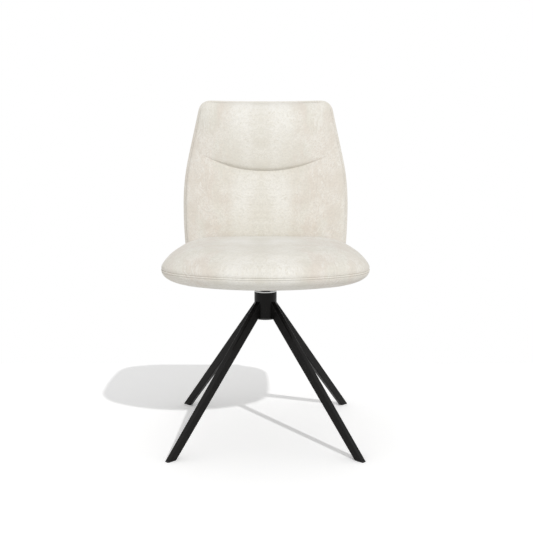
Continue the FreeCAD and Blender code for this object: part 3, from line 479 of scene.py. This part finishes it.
def seat_outline(step=2.0):
    """Seat seam in plan, anticlockwise seen from above, starting at the front."""
    front = (0.0, SEAT_FRONT + SEAT_FRONT_BOW)
    rear = (0.0, SEAT_REAR - SEAT_REAR_BOW)
    side = (SEAT_HALF_WIDTH - SEAT_SIDE_BOW, SEAT_WIDEST_Y)
    f = corner_centre(front, SEAT_FRONT_BOW - SEAT_FRONT_CORNER, side, SEAT_SIDE_BOW - SEAT_FRONT_CORNER)
    r = corner_centre(rear, SEAT_REAR_BOW - SEAT_REAR_CORNER, side, SEAT_SIDE_BOW - SEAT_REAR_CORNER)
    front_end = towards(front, SEAT_FRONT_BOW, f)
    side_start = towards(side, SEAT_SIDE_BOW, f)
    side_end = towards(side, SEAT_SIDE_BOW, r)
    rear_start = towards(rear, SEAT_REAR_BOW, r)
    half = [("arc", front, SEAT_FRONT_BOW, (0.0, SEAT_FRONT), front_end),
            ("arc", f, SEAT_FRONT_CORNER, front_end, side_start),
            ("arc", side, SEAT_SIDE_BOW, side_start, side_end),
            ("arc", r, SEAT_REAR_CORNER, side_end, rear_start),
            ("arc", rear, SEAT_REAR_BOW, rear_start, (0.0, SEAT_REAR))]
    return mirrored(half, step)


def back_outline(step=2.0):
    """Outline of the backrest in its x-z plane, anticlockwise seen from the front, from the bottom middle."""
    upper = (BACK_HALF_WIDTH - BACK_UPPER_BOW, BACK_WIDEST_Z)
    lower = (BACK_HALF_WIDTH - BACK_LOWER_BOW, BACK_WIDEST_Z)
    drop = lower[1] - BACK_BOTTOM_CORNER
    b = (lower[0] + math.sqrt((BACK_LOWER_BOW - BACK_BOTTOM_CORNER)**2 - drop**2), BACK_BOTTOM_CORNER)
    widest = (BACK_HALF_WIDTH, BACK_WIDEST_Z)
    taper = math.radians(BACK_TAPER_ANGLE)
    line_start = (upper[0] + BACK_UPPER_BOW * math.cos(taper), upper[1] + BACK_UPPER_BOW * math.sin(taper))
    corner_z = BACK_HEIGHT - BACK_TOP_CORNER
    reach = BACK_TOP_CORNER + math.sin(taper) * (corner_z - line_start[1])
    t = (line_start[0] - reach / math.cos(taper), corner_z)
    line_end = (t[0] + BACK_TOP_CORNER * math.cos(taper), t[1] + BACK_TOP_CORNER * math.sin(taper))
    lower_start = towards(lower, BACK_LOWER_BOW, b)
    half = [("line", (0.0, 0.0), (b[0], 0.0)),
            ("arc", b, BACK_BOTTOM_CORNER, (b[0], 0.0), lower_start),
            ("arc", lower, BACK_LOWER_BOW, lower_start, widest),
            ("arc", upper, BACK_UPPER_BOW, widest, line_start),
            ("line", line_start, line_end),
            ("arc", t, BACK_TOP_CORNER, line_end, (t[0], BACK_HEIGHT)),
            ("line", (t[0], BACK_HEIGHT), (0.0, BACK_HEIGHT))]
    return mirrored(half, step)


def mirrored(half, step):
    """Close a right-hand half outline with its mirror image."""
    points, normals = tangent_arc_points(half, step)
    flip = np.array([-1.0, 1.0])
    last = np.array([[0.0, half[-1][-1][1]]])
    points = np.vstack([points, last, points[:0:-1] * flip])
    normals = np.vstack([normals, [[0.0, 1.0]], normals[:0:-1] * flip])
    return points, normals


def evened(outline, step):
    """The outline again with even spacing and a number of points that eight divides."""
    points, normals = outline
    closed = np.vstack([points, points[:1]])
    turned = np.vstack([normals, normals[:1]])
    lengths = np.concatenate([[0.0], np.cumsum(np.hypot(*np.diff(closed, axis=0).T))])
    count = 8 * round(lengths[-1] / step / 8)
    at = lengths[-1] * np.arange(count) / count
    points = np.column_stack([np.interp(at, lengths, closed[:, i]) for i in (0, 1)])
    normals = np.column_stack([np.interp(at, lengths, turned[:, i]) for i in (0, 1)])
    return points, normals / np.linalg.norm(normals, axis=1)[:, None]


def smooth_curve(places, at):
    """Monotone cubic through (place, value) pairs."""
    x = np.array([p[0] for p in places], float)
    y = np.array([p[1] for p in places], float)
    h = np.diff(x)
    slope = np.diff(y) / h
    m = np.zeros(len(x))
    m[0], m[-1] = slope[0], slope[-1]
    for i in range(1, len(x) - 1):
        if slope[i - 1] * slope[i] > 0:
            w1 = 2 * h[i] + h[i - 1]
            w2 = h[i] + 2 * h[i - 1]
            m[i] = (w1 + w2) / (w1 / slope[i - 1] + w2 / slope[i])
    at = np.clip(at, x[0], x[-1])
    i = np.clip(np.searchsorted(x, at) - 1, 0, len(x) - 2)
    t = (at - x[i]) / h[i]
    return ((2 * t**3 - 3 * t**2 + 1) * y[i] + (t**3 - 2 * t**2 + t) * h[i] * m[i]
            + (-2 * t**3 + 3 * t**2) * y[i + 1] + (t**3 - t**2) * h[i] * m[i + 1])


def through(pairs, at):
    """Straight lines through (place, value) pairs."""
    return np.interp(at, *np.array(pairs, float).T)


def superellipse(share, power):
    """Rises from 0 at share 0, steeply, to 1 at share 1, level."""
    return (1 - (1 - share)**power)**(1 / power)


def smooth_step(t):
    t = np.clip(t, 0.0, 1.0)
    return t * t * (3 - 2 * t)


# Mesh building


def make_object(name, points, faces, material, levels=0):
    mesh = bpy.data.meshes.new(name)
    mesh.from_pydata([tuple(p) for p in np.asarray(points) * MM], [], faces)
    mesh.update()
    mesh.polygons.foreach_set("use_smooth", [True] * len(mesh.polygons))
    mesh.materials.append(material)
    item = bpy.data.objects.new(name, mesh)
    bpy.context.scene.collection.objects.link(item)
    if levels:
        subdivide(item)
    return item


def subdivide(item):
    modifier = item.modifiers.new("smooth", "SUBSURF")
    modifier.levels = 1
    modifier.render_levels = 1
    apply_modifiers(item)


def apply_modifiers(item):
    graph = bpy.context.evaluated_depsgraph_get()
    mesh = bpy.data.meshes.new_from_object(item.evaluated_get(graph))
    item.modifiers.clear()
    old = item.data
    item.data = mesh
    bpy.data.meshes.remove(old)


def swollen(item, held, cap):
    """Blow a pad up with Blender's cloth and move the piece as the cloth moved, by no more than the cap.

    A voxel copy is simulated, and held() says from 0 to 1 how firmly each of its points is kept in place.
    """
    blown = item.copy()
    blown.data = item.data.copy()
    scene = bpy.context.scene
    scene.collection.objects.link(blown)
    remesh = blown.modifiers.new("remesh", "REMESH")
    remesh.mode = "VOXEL"
    remesh.voxel_size = CLOTH_VOXEL * MM
    apply_modifiers(blown)
    start = coordinates(blown.data)
    group = blown.vertex_groups.new(name="held")
    for index, weight in enumerate(held(start / MM)):
        if weight > 0:
            group.add([index], float(weight), "REPLACE")
    cloth = blown.modifiers.new("cloth", "CLOTH")
    cloth.settings.quality = CLOTH_QUALITY
    cloth.settings.use_pressure = True
    cloth.settings.uniform_pressure_force = CLOTH_PRESSURE
    cloth.settings.effector_weights.gravity = 0
    cloth.settings.vertex_group_mass = "held"
    cloth.collision_settings.use_collision = False
    cloth.point_cache.frame_start = 1
    cloth.point_cache.frame_end = CLOTH_FRAMES
    for step in range(1, CLOTH_FRAMES + 1):
        scene.frame_set(step)
    moved = coordinates(blown.evaluated_get(bpy.context.evaluated_depsgraph_get()).data) - start
    scene.frame_set(1)
    size = np.linalg.norm(moved, axis=1)[:, None]
    moved *= np.minimum(1.0, cap * MM / np.maximum(size, 1e-9))

    tree = KDTree(len(start))
    for index, place in enumerate(start):
        tree.insert(place, index)
    tree.balance()
    points = coordinates(item.data)
    for index, place in enumerate(points):
        near = tree.find_n(place, CLOTH_NEIGHBOURS)
        weights = np.array([1 / (NEAR_DISTANCE + found[2])**2 for found in near])
        shift = (weights[:, None] * moved[[found[1] for found in near]]).sum(0) / weights.sum()
        points[index] += shift * (1 - float(held(place[None] / MM)[0]))
    item.data.vertices.foreach_set("co", points.reshape(-1))
    item.data.update()
    bpy.data.objects.remove(blown)


def coordinates(mesh):
    points = np.empty(len(mesh.vertices) * 3)
    mesh.vertices.foreach_get("co", points)
    return points.reshape(-1, 3)


def ring_faces(rings, count, first=0):
    """Quads between closed rings of count points, outward for rings that go round anticlockwise and up."""
    faces = []
    for row in range(rings - 1):
        a = first + row * count
        for k in range(count):
            n = (k + 1) % count
            faces.append((a + k, a + n, a + count + n, a + count + k))
    return faces


class Plan:
    """Outline with a centre, and shells built over it ring by ring."""

    def __init__(self, outline, centre, place):
        self.points, self.normals = outline
        self.centre = np.array(centre)
        self.place = place
        self.count = len(self.points)
        run = self.points - self.centre
        self.support = (run * self.normals).sum(1)
        self.reach = np.hypot(*run.T)
        angle = np.arctan2(run[:, 1], run[:, 0])
        order = np.argsort(angle)
        self.polar = [np.concatenate([a[order][-1:] - lap, a[order], a[order][:1] + lap])
                      for a, lap in ((angle, 2 * math.pi), (self.support, 0), (self.reach, 0))]

    def ring(self, inset):
        return self.centre + (self.points - self.centre) * (1 - inset / self.support)[:, None]

    def inset_at(self, flat):
        """How far inside the outline some flat points lie, in the sense of ring."""
        run = flat - self.centre
        angle = np.arctan2(run[:, 1], run[:, 0])
        support = np.interp(angle, self.polar[0], self.polar[1])
        reach = np.interp(angle, self.polar[0], self.polar[2])
        return (1 - np.hypot(*run.T) / reach) * support

    def level(self, inset, height):
        """One ring, placed in the chair."""
        return self.place(self.ring(inset), np.full(self.count, height))

    def cap(self, inset):
        """Flat grid that fills a ring, and the ring's index for each of its border points."""
        m = self.count // 4
        half = m // 2
        ring = self.ring(inset)
        k = np.arange(m + 1)
        index = np.full((m + 1, m + 1), -1)
        index[:, 0] = (k - half) % self.count
        index[m, :] = (half + k) % self.count
        index[:, m] = (3 * half + m - k) % self.count
        index[0, :] = (5 * half + m - k) % self.count
        u = (k / m)[:, None, None]
        v = (k / m)[None, :, None]
        front, rear = ring[index[:, 0]][:, None], ring[index[:, m]][:, None]
        left, right = ring[index[0, :]][None], ring[index[m, :]][None]
        corner = [ring[index[i, j]] for i, j in ((0, 0), (m, 0), (0, m), (m, m))]
        grid = ((1 - v) * front + v * rear + (1 - u) * left + u * right
                - (1 - u) * (1 - v) * corner[0] - u * (1 - v) * corner[1]
                - (1 - u) * v * corner[2] - u * v * corner[3])
        for _ in range(RELAX_ROUNDS):
            grid[1:-1, 1:-1] = (grid[:-2, 1:-1] + grid[2:, 1:-1] + grid[1:-1, :-2] + grid[1:-1, 2:]) / 4
        return grid, index

    def shell(self, profile, low, high):
        """Closed shell: a cap, rings (inset, level), and another cap; low and high give the caps' levels."""
        rings = [self.level(inset, height) for inset, height in profile]
        points = [np.vstack(rings)]
        faces = ring_faces(len(rings), self.count)
        total = len(rings) * self.count
        for inset, first, lift, up in ((profile[0][0], 0, low, False),
                                       (profile[-1][0], total - self.count, high, True)):
            grid, index = self.cap(inset)
            number = index + first
            inner = index < 0
            number[inner] = total + np.arange(inner.sum())
            total += int(inner.sum())
            flat = grid[inner]
            points.append(self.place(flat, lift(self.inset_at(flat))))
            a, b, c, d = number[:-1, :-1], number[1:, :-1], number[1:, 1:], number[:-1, 1:]
            quads = np.stack([a, b, c, d] if up else [d, c, b, a], axis=-1).reshape(-1, 4)
            faces += [tuple(int(i) for i in quad) for quad in quads]
        return np.vstack(points), faces

    def band(self, profile):
        """Closed band from rings (inset, level) that come round to the first again."""
        rings = [self.level(inset, height) for inset, height in profile]
        faces = ring_faces(len(rings), self.count)
        last = (len(rings) - 1) * self.count
        for k in range(self.count):
            n = (k + 1) % self.count
            faces.append((last + k, last + n, n, k))
        return np.vstack(rings), faces


def seat_place(flat, level):
    return np.column_stack([flat, level])


def back_place(flat, level):
    return reclined(np.column_stack([flat[:, 0], wrap(flat[:, 0]) + level, flat[:, 1]]))


def level_at(value):
    """Flat cap."""
    return lambda inset: np.full(len(inset), value)


# Seat


def dome_height(inset):
    share = np.clip(np.asarray(inset) / DOME_REACH, 0.0, 1.0)
    return DOME_START + (SEAT_CROWN - DOME_START) * superellipse(share, DOME_POWER)


def seat_cushion(plan):
    """Domed top, rolled in at the seam and closed below."""
    low = WELT_TOP - 0.5
    profile = [(inset, low) for inset in (30.0, 14.0, 6.0, 3.6, 2.4)] + [(1.4, low + 0.2), (0.7, low + 0.8)]
    for inset in DOME_INSETS:
        profile.append((inset, float(dome_height(inset - DOME_SHIFT))))
    points, faces = plan.shell(profile, level_at(low), lambda inset: dome_height(inset - DOME_SHIFT))
    return make_object("seat_cushion_cover", points, faces, MATERIALS["cream_fabric"])


def seat_underside(plan):
    """Lower cover: hollow for the board, drawn in under the board's edge, and a bowl up to the seam."""
    edge = BOARD_INSET
    bottom = BOARD_BOTTOM - 0.1
    profile = [(edge + 12.0, BOARD_TOP + 0.4), (edge - 0.6, BOARD_TOP + 0.4), (edge - 0.6, BOARD_TOP - 1.0),
               (edge - 0.6, BOARD_BOTTOM + 0.2), (edge + 0.6, bottom), (edge + 7.6, bottom),
               (edge + 7.8, BOARD_BOTTOM - 0.8), (edge + 0.4, BOARD_BOTTOM - 0.8), (edge - 3.0, bottom)]
    inset_of_height = [(height, inset) for inset, height in reversed(BOWL)]
    for height in BOWL_HEIGHTS:
        profile.append((float(smooth_curve(inset_of_height, height)), height))
    top = WELT_BOTTOM - 0.6
    profile += [(0.6, top - 0.6), (1.3, top - 0.1)] + [(inset, top) for inset in (2.4, 3.6, 6.0, 14.0, 30.0)]
    points, faces = plan.shell(profile, level_at(BOARD_TOP + 0.4), level_at(top))
    return make_object("seat_lower_cover", points, faces, MATERIALS["cream_fabric"])


def seat_piping(plan):
    """Flat band between the two seams, hardly proud of the covers."""
    low, high = WELT_BOTTOM - 0.6, WELT_TOP - 0.5
    rounded = [(9.0, 0.0), (2.6, 0.0), (1.2, 0.1), (0.5, 0.5), (0.05, 1.1), (-0.15, 2.0)]
    profile = [(inset, low + rise) for inset, rise in rounded]
    profile += [(inset, high - rise) for inset, rise in reversed(rounded)]
    return make_object("seat_piping", *plan.band(profile), MATERIALS["cream_fabric"], 1)


# Backrest


def wrap(x, offset=0.0):
    return np.sqrt((BACK_WRAP_RADIUS + offset)**2 - np.asarray(x)**2) - BACK_WRAP_RADIUS


def reclined(points):
    """From the backrest's upright frame to the chair."""
    tilt = math.radians(BACK_RECLINE)
    x, y, z = np.asarray(points).T
    return np.column_stack([x, BACK_BASE_Y + y * math.cos(tilt) + z * math.sin(tilt),
                            BACK_BASE_Z - y * math.sin(tilt) + z * math.cos(tilt)])


def upright(points):
    """From the chair to the backrest's upright frame."""
    tilt = math.radians(BACK_RECLINE)
    x, y, z = (np.asarray(points) - (0.0, BACK_BASE_Y, BACK_BASE_Z)).T
    return np.column_stack([x, y * math.cos(tilt) - z * math.sin(tilt),
                            y * math.sin(tilt) + z * math.cos(tilt)])


def seat_held(points):
    """The cushion's seam and underside stay; its top is free."""
    return 1 - smooth_step((points[:, 2] - WELT_TOP - HELD_START) / HELD_END)


def back_held(points):
    """The seams and the crease of the backrest's front stay; its two pads are free."""
    x, y, z = upright(points).T
    rim = 1 - smooth_step((wrap(x) - y - HELD_RIM) / HELD_END)
    fade = 1 - smooth_step((np.abs(x) - CREASE_END_X) / HELD_CREASE_SIDE)
    gap = np.abs(z - crease_height(np.clip(x, -CREASE_REACH, CREASE_REACH)))
    return np.maximum(rim, fade * (1 - smooth_step((gap - HELD_CREASE) / HELD_CREASE_END)))


def back_rear(plan):
    """Rear shell: a soft crown, full sides, and a rolled edge at the seam."""
    depth = COVER_DEPTH + REAR_OVERLAP - REAR_START - REAR_CROWN

    def crown(inset):
        share = np.clip((inset - REAR_SHIFT) / REAR_REACH, 0.0, 1.0)
        bulge = depth * superellipse(share, REAR_POWER)
        return REAR_START + bulge + REAR_CROWN * smooth_step(inset / REAR_CROWN_REACH)

    profile = REAR_EDGE + [(inset, float(crown(inset))) for inset in REAR_INSETS]
    points, faces = plan.shell(profile, level_at(REAR_EDGE[0][1]), crown)
    return make_object("back_rear_cover", points, faces, MATERIALS["cream_fabric"])


def back_piping(plan):
    return make_object("back_piping", *plan.band(BACK_BAND), MATERIALS["cream_fabric"], 1)


def half_width_at(outline, heights):
    """Half width of the outline at some heights, with its level ends at their full width."""
    right = outline[outline[:, 0] > 0]
    right = right[np.argsort(right[:, 1])]
    half = right[:, 0].copy()
    for end in (right[0, 1], right[-1, 1]):
        level = np.abs(right[:, 1] - end) < 0.05
        half[level] = half[level].max()
    return np.interp(heights, right[:, 1], half)


def crease_height(x):
    return CREASE_LOW_Z + CREASE_RADIUS - np.sqrt(CREASE_RADIUS**2 - np.asarray(x)**2)


def distance_inside(points, outline):
    """Distance from each point to the closed outline."""
    best = np.full(len(points), 1e9)
    for a, b in zip(outline, np.roll(outline, -1, axis=0)):
        run = b - a
        t = np.clip(((points - a) @ run) / (run @ run), 0, 1)
        best = np.minimum(best, np.hypot(*(points - a - t[:, None] * run).T))
    return best


def rounded_rows(low, high, start, end):
    """Heights from low to high, with given fine steps at both ends and even ones between."""
    a = low + np.array(start)
    b = high - np.array(end)[::-1]
    middle = np.linspace(a[-1], b[0], max(2, round((b[0] - a[-1]) / PLAIN_ROW_STEP)))
    return np.concatenate([a, middle[1:-1], b])


def resampled(rows, count):
    return np.interp(np.linspace(0, 1, count), np.linspace(0, 1, len(rows)), rows)


def front_columns(outline):
    """Columns of the front's grid: share of the half width, crease height and strength, and plain rows."""
    low = outline[:, 1].min()
    high = outline[:, 1].max()
    edge = 1 - np.array(BORDER_COLUMNS) / COLUMN_REACH
    middle = np.linspace(-edge[-1], edge[-1], MIDDLE_COLUMNS + 2)[1:-1]
    columns = []
    for share in np.concatenate([-edge, middle, edge[::-1]]):
        crease = crease_height(min(abs(share) * CREASE_REACH, CREASE_REACH))
        for _ in range(CREASE_ROUNDS):
            half = float(half_width_at(outline, crease))
            crease = float(crease_height(share * half))
        fade = 1 - smooth_step((abs(share * half) - CREASE_FULL_X) / (CREASE_END_X - CREASE_FULL_X))
        below = rounded_rows(low, crease + CREASE_ROWS[0], BORDER_ROWS, (PLAIN_ROW_END,))
        above = rounded_rows(crease + CREASE_ROWS[-1], high, (PLAIN_ROW_END,), BORDER_ROWS)
        columns.append((share, crease, float(fade), below, above))
    return columns


def front_thickness(rows, x, half, crease, fade, sharp):
    """Thickness of the two pads along one column, before their edges are rounded."""
    soft = smooth_step((rows - crease + FADE_LOW) / FADE_HEIGHT)
    share = soft + (sharp - soft) * fade
    shoulder = np.maximum(half - SHOULDER_MARGIN, SHOULDER_LEAST)
    bow = 1 - np.minimum(np.abs(x) / shoulder, 1.0)**2
    lumbar = smooth_curve(LUMBAR_FULLNESS, rows)
    lumbar = LUMBAR_EDGE + (lumbar - LUMBAR_EDGE) * bow
    rise = np.sqrt(1 - (1 - np.clip((BACK_HEIGHT - rows) / HEAD_ROUND, 0, 1))**2)
    head = HEAD_THICKNESS * rise * smooth_curve(HEAD_FULLNESS, rows)
    head_edge = np.minimum(HEAD_EDGE, HEAD_EDGE_SHARE * head)
    head = head_edge + (head - head_edge) * bow
    return (1 - share) * lumbar + share * head


def front_grid(outline):
    """Grid of (x, height, thickness) over the front, column by column."""
    columns = front_columns(outline)
    below_count = max(len(column[3]) for column in columns)
    above_count = max(len(column[4]) for column in columns)
    before = np.zeros(below_count)
    after = np.zeros(above_count)
    sharp = np.concatenate([before, through(CREASE_STEP, CREASE_ROWS), after + 1])
    cut = np.concatenate([before, through(CREASE_CUT, CREASE_ROWS), after])
    hang = np.concatenate([before, through(CREASE_HANG, CREASE_ROWS), after])
    grid = []
    for share, crease, fade, below, above in columns:
        rows = np.concatenate([resampled(below, below_count), crease + CREASE_ROWS,
                               resampled(above, above_count)])
        half = half_width_at(outline, rows)
        x = share * half
        thickness = front_thickness(rows, x, half, crease, fade, sharp) - cut * fade
        grid.append(np.column_stack([x, rows - hang * fade, thickness]))
    return np.array(grid)


def grid_faces(columns, rows, number, turned):
    """Quads of a grid whose points have the given numbers."""
    order = (0, 1, 3, 2) if turned else (0, 2, 3, 1)
    faces = []
    for i in range(columns - 1):
        for j in range(rows - 1):
            a = i * rows + j
            square = (a, a + 1, a + rows, a + rows + 1)
            faces.append(tuple(int(number[square[k]]) for k in order))
    return faces


def back_front(plan):
    """Front of the backrest: lumbar pad below, head roll above, and the crease between them."""
    outline = plan.ring(FRONT_INSET)
    grid = front_grid(outline)
    columns, rows = grid.shape[:2]
    flat = grid[:, :, :2].reshape(-1, 2)
    border = np.zeros((columns, rows), bool)
    border[0] = border[-1] = True
    border[:, 0] = border[:, -1] = True
    border = border.reshape(-1)
    inside = distance_inside(flat, outline)
    inside[border] = 0.0
    rounding = np.sqrt(1 - (1 - np.minimum(inside / EDGE_ROUND, 1))**2)
    thickness = grid[:, :, 2].reshape(-1) * rounding
    face = wrap(flat[:, 0]) + FRONT_FACE
    front = np.column_stack([flat[:, 0], face - thickness, flat[:, 1]])
    number = np.arange(columns * rows)
    faces = grid_faces(columns, rows, number, False)

    # The flat rear side shares the border's points
    number[~border] = columns * rows + np.arange((~border).sum())
    faces += grid_faces(columns, rows, number, True)
    rear = np.column_stack([flat[~border, 0], face[~border] + FRONT_BACKING, flat[~border, 1]])
    points = reclined(np.vstack([front, rear]))
    return make_object("back_front_cover", points, faces, MATERIALS["cream_fabric"])


def dress(item, body, slot, *nodes):
    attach(item, body)
    if nodes:
        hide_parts(*nodes)


def build_upholstery():
    seat_plan = Plan(evened(seat_outline(), SEAM_STEP), (0.0, (SEAT_FRONT + SEAT_REAR) / 2), seat_place)
    back_plan = Plan(evened(back_outline(), SEAM_STEP), (0.0, BACK_HEIGHT / 2), back_place)
    pieces = [(seat_cushion(seat_plan), ("seat_cushion",), 0.95),
              (seat_underside(seat_plan), ("seat_lower_pad",), 0.9),
              (back_front(back_plan), ("lumbar_pad", "head_pad"), 0.9),
              (back_rear(back_plan), ("rear_cover",), 0.9)]
    swollen(pieces[0][0], seat_held, CLOTH_CAP)
    swollen(pieces[2][0], back_held, CLOTH_CAP)
    for item, nodes, fill in pieces:
        subdivide(item)
        dress(item, "seat", "cream_fabric", *nodes)
    dress(seat_piping(seat_plan), "seat", "cream_fabric", "seat_welt")
    dress(back_piping(back_plan), "seat", "cream_fabric", "back_welt")


def finish_frame_nodes():
    """Give every CAD node that still shows its own material."""
    slots = {row["node"]: row["material_slot"] for row in frame["record"]["subparts"]}
    for name, node in frame["nodes"].items():
        node.data.materials.clear()
        node.data.materials.append(MATERIALS[slots[name]])


# Stage


def build_world():
    """White ground for the camera, and a dimmer sky for the light."""
    world = bpy.data.worlds.new("studio")
    bpy.context.scene.world = world
    world.use_nodes = True
    tree = world.node_tree
    tree.nodes.clear()
    grounds = []
    for strength in (SKY, 1.0):
        ground = tree.nodes.new("ShaderNodeBackground")
        ground.inputs["Color"].default_value = grey(1.0)
        ground.inputs["Strength"].default_value = strength
        grounds.append(ground)
    switch(tree, *grounds, tree.nodes.new("ShaderNodeOutputWorld"))


def build_floor():
    """White floor that catches the shadow."""
    mesh = bpy.data.meshes.new("floor")
    corners = [(-FLOOR_REACH, -FLOOR_REACH, 0), (FLOOR_REACH, -FLOOR_REACH, 0), (FLOOR_REACH, FLOOR_REAR, 0),
               (-FLOOR_REACH, FLOOR_REAR, 0)]
    mesh.from_pydata(corners, [], [(0, 1, 2, 3)])
    floor = bpy.data.objects.new("floor", mesh)
    bpy.context.scene.collection.objects.link(floor)
    n = Nodes("floor_white")
    bounce = n.add("ShaderNodeBsdfDiffuse", Color=grey(FLOOR_BOUNCE))
    shown = n.add("ShaderNodeBsdfDiffuse", Color=grey(FLOOR_SHOWN))
    switch(n.tree, bounce, shown, n.output)
    floor.data.materials.append(n.material)


def build_lamps():
    for name, way, strength, spread in LAMPS:
        lamp = bpy.data.lights.new(name, "SUN")
        lamp.energy = strength
        lamp.angle = math.radians(spread)
        item = bpy.data.objects.new(name, lamp)
        item.rotation_euler = Vector(way).to_track_quat("-Z", "Y").to_euler()
        bpy.context.scene.collection.objects.link(item)


def build_camera():
    camera = bpy.data.cameras.new("camera")
    camera.lens = LENS
    camera.sensor_width = SENSOR
    camera.clip_end = FAR_END
    view = bpy.data.objects.new("camera", camera)
    view.location = CAMERA_PLACE
    view.rotation_euler = (math.radians(CAMERA_TILT), 0, 0)
    bpy.context.scene.collection.objects.link(view)
    bpy.context.scene.camera = view
    bpy.context.scene.view_settings.view_transform = "Standard"


def switch(tree, other, shown, output):
    """Put out one shader for the camera and another for the light."""
    mix = tree.nodes.new("ShaderNodeMixShader")
    tree.links.new(seen_by_camera(tree), mix.inputs[0])
    tree.links.new(other.outputs[0], mix.inputs[1])
    tree.links.new(shown.outputs[0], mix.inputs[2])
    tree.links.new(mix.outputs[0], output.inputs["Surface"])


def seen_by_camera(tree):
    """1 for what the camera sees straight, in a reflection or through glass."""
    path = tree.nodes.new("ShaderNodeLightPath")
    total = path.outputs["Is Camera Ray"]
    for name in ("Is Glossy Ray", "Is Transmission Ray"):
        node = tree.nodes.new("ShaderNodeMath")
        node.operation = "MAXIMUM"
        tree.links.new(total, node.inputs[0])
        tree.links.new(path.outputs[name], node.inputs[1])
        total = node.outputs[0]
    return total


build_world()
build_floor()
build_lamps()
build_camera()
finish_frame_nodes()
build_upholstery()
